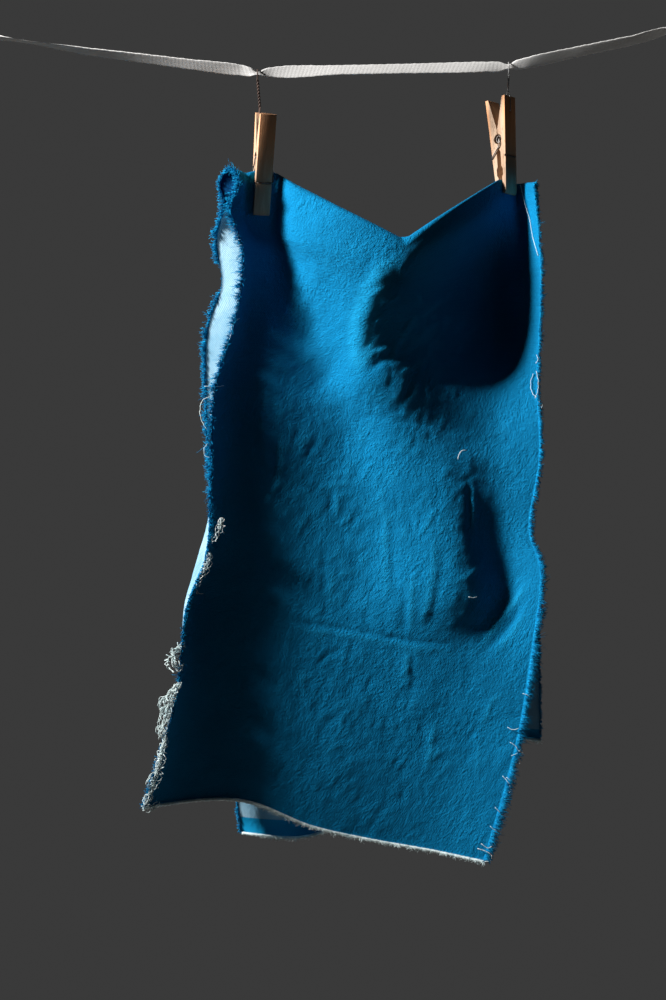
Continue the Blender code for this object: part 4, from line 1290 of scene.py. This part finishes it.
def tuft_parts(chance):
    """Every tuft as a bundle of wandering threads that hangs along the cut edge."""
    parts = []
    for _, count, spread, sway, thick, off, course in TUFTS:
        for _ in range(count):
            shift = chance.normal(0, spread * 0.5, 3)
            kept = chance.integers(max(2, len(course) - 1), len(course) + 1)
            places = []
            for k, (x, z) in enumerate(course[:kept]):
                near = shift * min(1.0, TUFT_ROOT_STRAY + TUFT_STRAY_STEP * k)
                depth = front_depth(x, z) - off
                places.append(behind(x + near[0], z + near[2], depth + near[1]))
            line = wandering(places, TUFT_STEP, sway, chance)
            parts.append(tube(line, thick / 2 * chance.uniform(*TUFT_UNEVEN), YARN_SIDES))
    return parts


chance = np.random.default_rng(23)
tufts = tuft_parts(chance)
print(len(tufts), "tuft threads")

# %% [markdown]
# ## The frayed cut edges
#
# The left edge is the softer one, a fine blue fringe with white tufts torn loose. The right edge is
# ragged and sticks out in teeth, longest low down.

# %% The two fringes
# a dense fringe and a few longer, looser threads through it: threads a millimetre, share of the
# longest thread, spacing of the teeth, thickness, and how much more they lean
FRINGE_LAYERS = ((8.5, 1.0, (1.1, 3.2), (0.42, 0.75), 0.0), (1.2, 1.35, (3, 9), (0.24, 0.36), 0.3))
FORWARD = {"left": 0.3, "right": 0.5}
FRINGE_LEAN = {"left": 0.45, "right": 0.14}
RING_LEAN = 1.3
RING_FOOT, RING_FADE = -142, 6
# the way out counts less in depth, so that the fringe shows from the front
EDGE_SPREAD = (1, 0.45, 1)
# height, longest thread there, for each edge and layer
FRINGE_REACH = {
    ("left", "front"): (
        (-105, 4.5), (-140, 7.0), (-200, 6.2), (-330, 6.0), (-420, 4.5), (-480, 3.6), (-620, 3.2),
    ),
    ("left", "back"): (
        (-105, 4.5), (-140, 6.0), (-176, 6.5), (-183, 1.0), (-202, 1.0), (-208, 6.0), (-420, 3.5),
    ),
    ("right", "front"): ((-110, 3.8), (-300, 4.4), (-430, 5.4), (-470, 8.5), (-600, 9.0), (-660, 6.5)),
    ("right", "back"): ((-110, 2.4), (-560, 2.8)),
}

for side, column, beside in (("left", 0, 2), ("right", -1, -3)):
    edge = sheet[:, column]
    edge_out = unit((edge - sheet[:, beside]) * EDGE_SPREAD)
    reaches = []
    for which in ("front", "back"):
        heights, longest = np.array(FRINGE_REACH[side, which]).T
        reaches.append(np.interp(-edge[:, 2], -heights, longest))
    reach = np.where(np.arange(len(edge)) < ON_FRONT + FOLD_STEPS / 2, *reaches)
    line = edge, edge_out, final_normal[:, column]
    at_ring = eased((edge[:, 2] - RING_FOOT) / RING_FADE) * (side == "left")
    lean = FRINGE_LEAN[side] + (RING_LEAN - FRINGE_LEAN[side]) * at_ring
    parts = [
        fringe(*line, per_mm, reach * share, teeth, thick, lean + looser, FORWARD[side], chance)
        for per_mm, share, teeth, thick, looser in FRINGE_LAYERS
    ]
    finish_of = [0] * sum(len(part[1]) for part in parts)
    if side == "left":
        parts += tufts
        finish_of += [1] * sum(len(part[1]) for part in tufts)
    points, faces = joined(parts)
    piece = mesh_piece(f"fringe_{side}", points, faces, [WARP_YARNS_WITH_PAINTED_SHADING[side], WEFT_YARN], finish_of)
    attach(piece, "root")
    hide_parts(f"fray_{side}")
    print(piece.name, sum(len(face) - 2 for face in faces), "triangles")

# %% [markdown]
# ## The selvedges
#
# Both hems are the loom's own edge: a tight white cord that has gone fluffy in the wash.

# %% The two white hems
SELVEDGE_RADIUS, SELVEDGE_LUMPS = 1.2, 0.25
SELVEDGE_OUT, SELVEDGE_FORWARD = 0.7, 1.5
FUZZ_PER_MM, FUZZ_TEETH, FUZZ_THICK = 10.0, (0.7, 1.8), (0.3, 0.56)
FUZZ_LEAN, FUZZ_FORWARD = 0.9, 1.3
# place from left to right, longest fuzz there
FUZZ_REACH = ((150, 1.4), (200, 2.0), (225, 4.2))

for name, row, beside in (("front", 0, 2), ("back", -1, -3)):
    edge = sheet[row]
    edge_out = unit(edge - sheet[beside])
    cord = edge + edge_out * SELVEDGE_OUT + np.array((0, -SELVEDGE_FORWARD, 0))
    reach = np.interp(edge[:, 0], *np.array(FUZZ_REACH).T)
    lean = np.full(len(edge), FUZZ_LEAN)
    line = edge, edge_out, final_normal[row]
    fuzz = fringe(*line, FUZZ_PER_MM, reach, FUZZ_TEETH, FUZZ_THICK, lean, FUZZ_FORWARD, chance)
    step = np.arange(len(cord))
    lumps = SELVEDGE_RADIUS * (1 + SELVEDGE_LUMPS * np.sin(step * 2.1) * np.sin(step * 0.83))
    points, faces = joined([tube(cord, lumps, 8), fuzz])
    piece = mesh_piece(f"selvedge_{name}", points, faces, [WEFT_YARN])
    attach(piece, "root")
    print(piece.name, sum(len(face) - 2 for face in faces), "triangles")

# %% The loose threads
parts = []
for where, off, thick, course in THREADS:
    depth_at = front_depth if where == "front" else back_depth
    places = [behind(x, z, depth_at(x, z) - off) for x, z in course]
    parts.append(tube(wandering(places, THREAD_STEP, THREAD_SWAY, chance), thick / 2, YARN_SIDES))
points, faces = joined(parts)
loose = mesh_piece("loose_threads", points, faces, [WEFT_YARN])
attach(loose, "root")
print(loose.name, len(parts), "threads")

# %% [markdown]
# ## Floor, light and a plain background
#
# One small soft lamp stands far round to the left and a little above the cloth. Its light rakes over
# the front, so that every crease has a lit flank and a dark one, and the deep folds go nearly black.
# Two weak lamps behind the cloth serve whoever walks round it. The floor is pale and plain and lies
# far below. The surroundings are a plain grey that the camera sees four times brighter than it
# shines, or it would fill the shade.

# %% The stage
FLOOR_HEIGHT = -1700.0
FLOOR_RADIUS = 2200.0

deselect_all()
floor_at = Vector((EYE[0], 0, FLOOR_HEIGHT)) * MM
bpy.ops.mesh.primitive_circle_add(vertices=96, radius=FLOOR_RADIUS * MM, fill_type="NGON", location=floor_at)
floor = bpy.context.active_object
floor.name = "floor"
pale = Finish("pale floor", roughness=0.9)
mottle = pale.noise(pale.place(), 6, detail=3)
floor.data.materials.append(pale.wear(colour=pale.mix(mottle, (0.60, 0.59, 0.57), (0.66, 0.65, 0.63))))

# %% The lamps
AIM = Vector((300, -10, -240)) * MM
# turn to the left of the camera's axis, height above the middle, distance, size, power, spread
LAMPS = {
    "key": (75, 28, 2.0, 0.34, 20, 80),
    "behind right": (-158, 18, 2.4, 1.2, 0.35, 40),
    "behind left": (158, 24, 2.4, 1.2, 0.8, 40),
}


def add_lamp(name, turn, rise, distance, size, power, spread):
    turn, rise = math.radians(turn), math.radians(rise)
    way = Vector((-math.sin(turn) * math.cos(rise), -math.cos(turn) * math.cos(rise), math.sin(rise)))
    bpy.ops.object.light_add(type="AREA", location=AIM + way * distance)
    lamp = bpy.context.active_object
    lamp.name = name
    lamp.rotation_euler = way.to_track_quat("Z", "Y").to_euler()
    lamp.data.shape = "DISK"
    lamp.data.size = size
    lamp.data.energy = power
    lamp.data.spread = math.radians(spread)


for name, facts in LAMPS.items():
    add_lamp(name, *facts)
print("lamps:", list(LAMPS))

# %% The surroundings
BACKDROP = 0.042
DIM = 0.25

world = bpy.data.worlds.new("plain grey")
bpy.context.scene.world = world
world.use_nodes = True
grey = world.node_tree.nodes["Background"]
grey.inputs["Color"].default_value = (BACKDROP, BACKDROP, BACKDROP, 1)
rays = world.node_tree.nodes.new("ShaderNodeLightPath")
strength = world.node_tree.nodes.new("ShaderNodeMapRange")
strength.inputs["To Min"].default_value = DIM
world.node_tree.links.new(rays.outputs["Is Camera Ray"], strength.inputs["Value"])
world.node_tree.links.new(strength.outputs["Result"], grey.inputs["Strength"])
bpy.context.scene.view_settings.view_transform = "Standard"
print("backdrop", BACKDROP, "seen, and", BACKDROP * DIM, "shining")
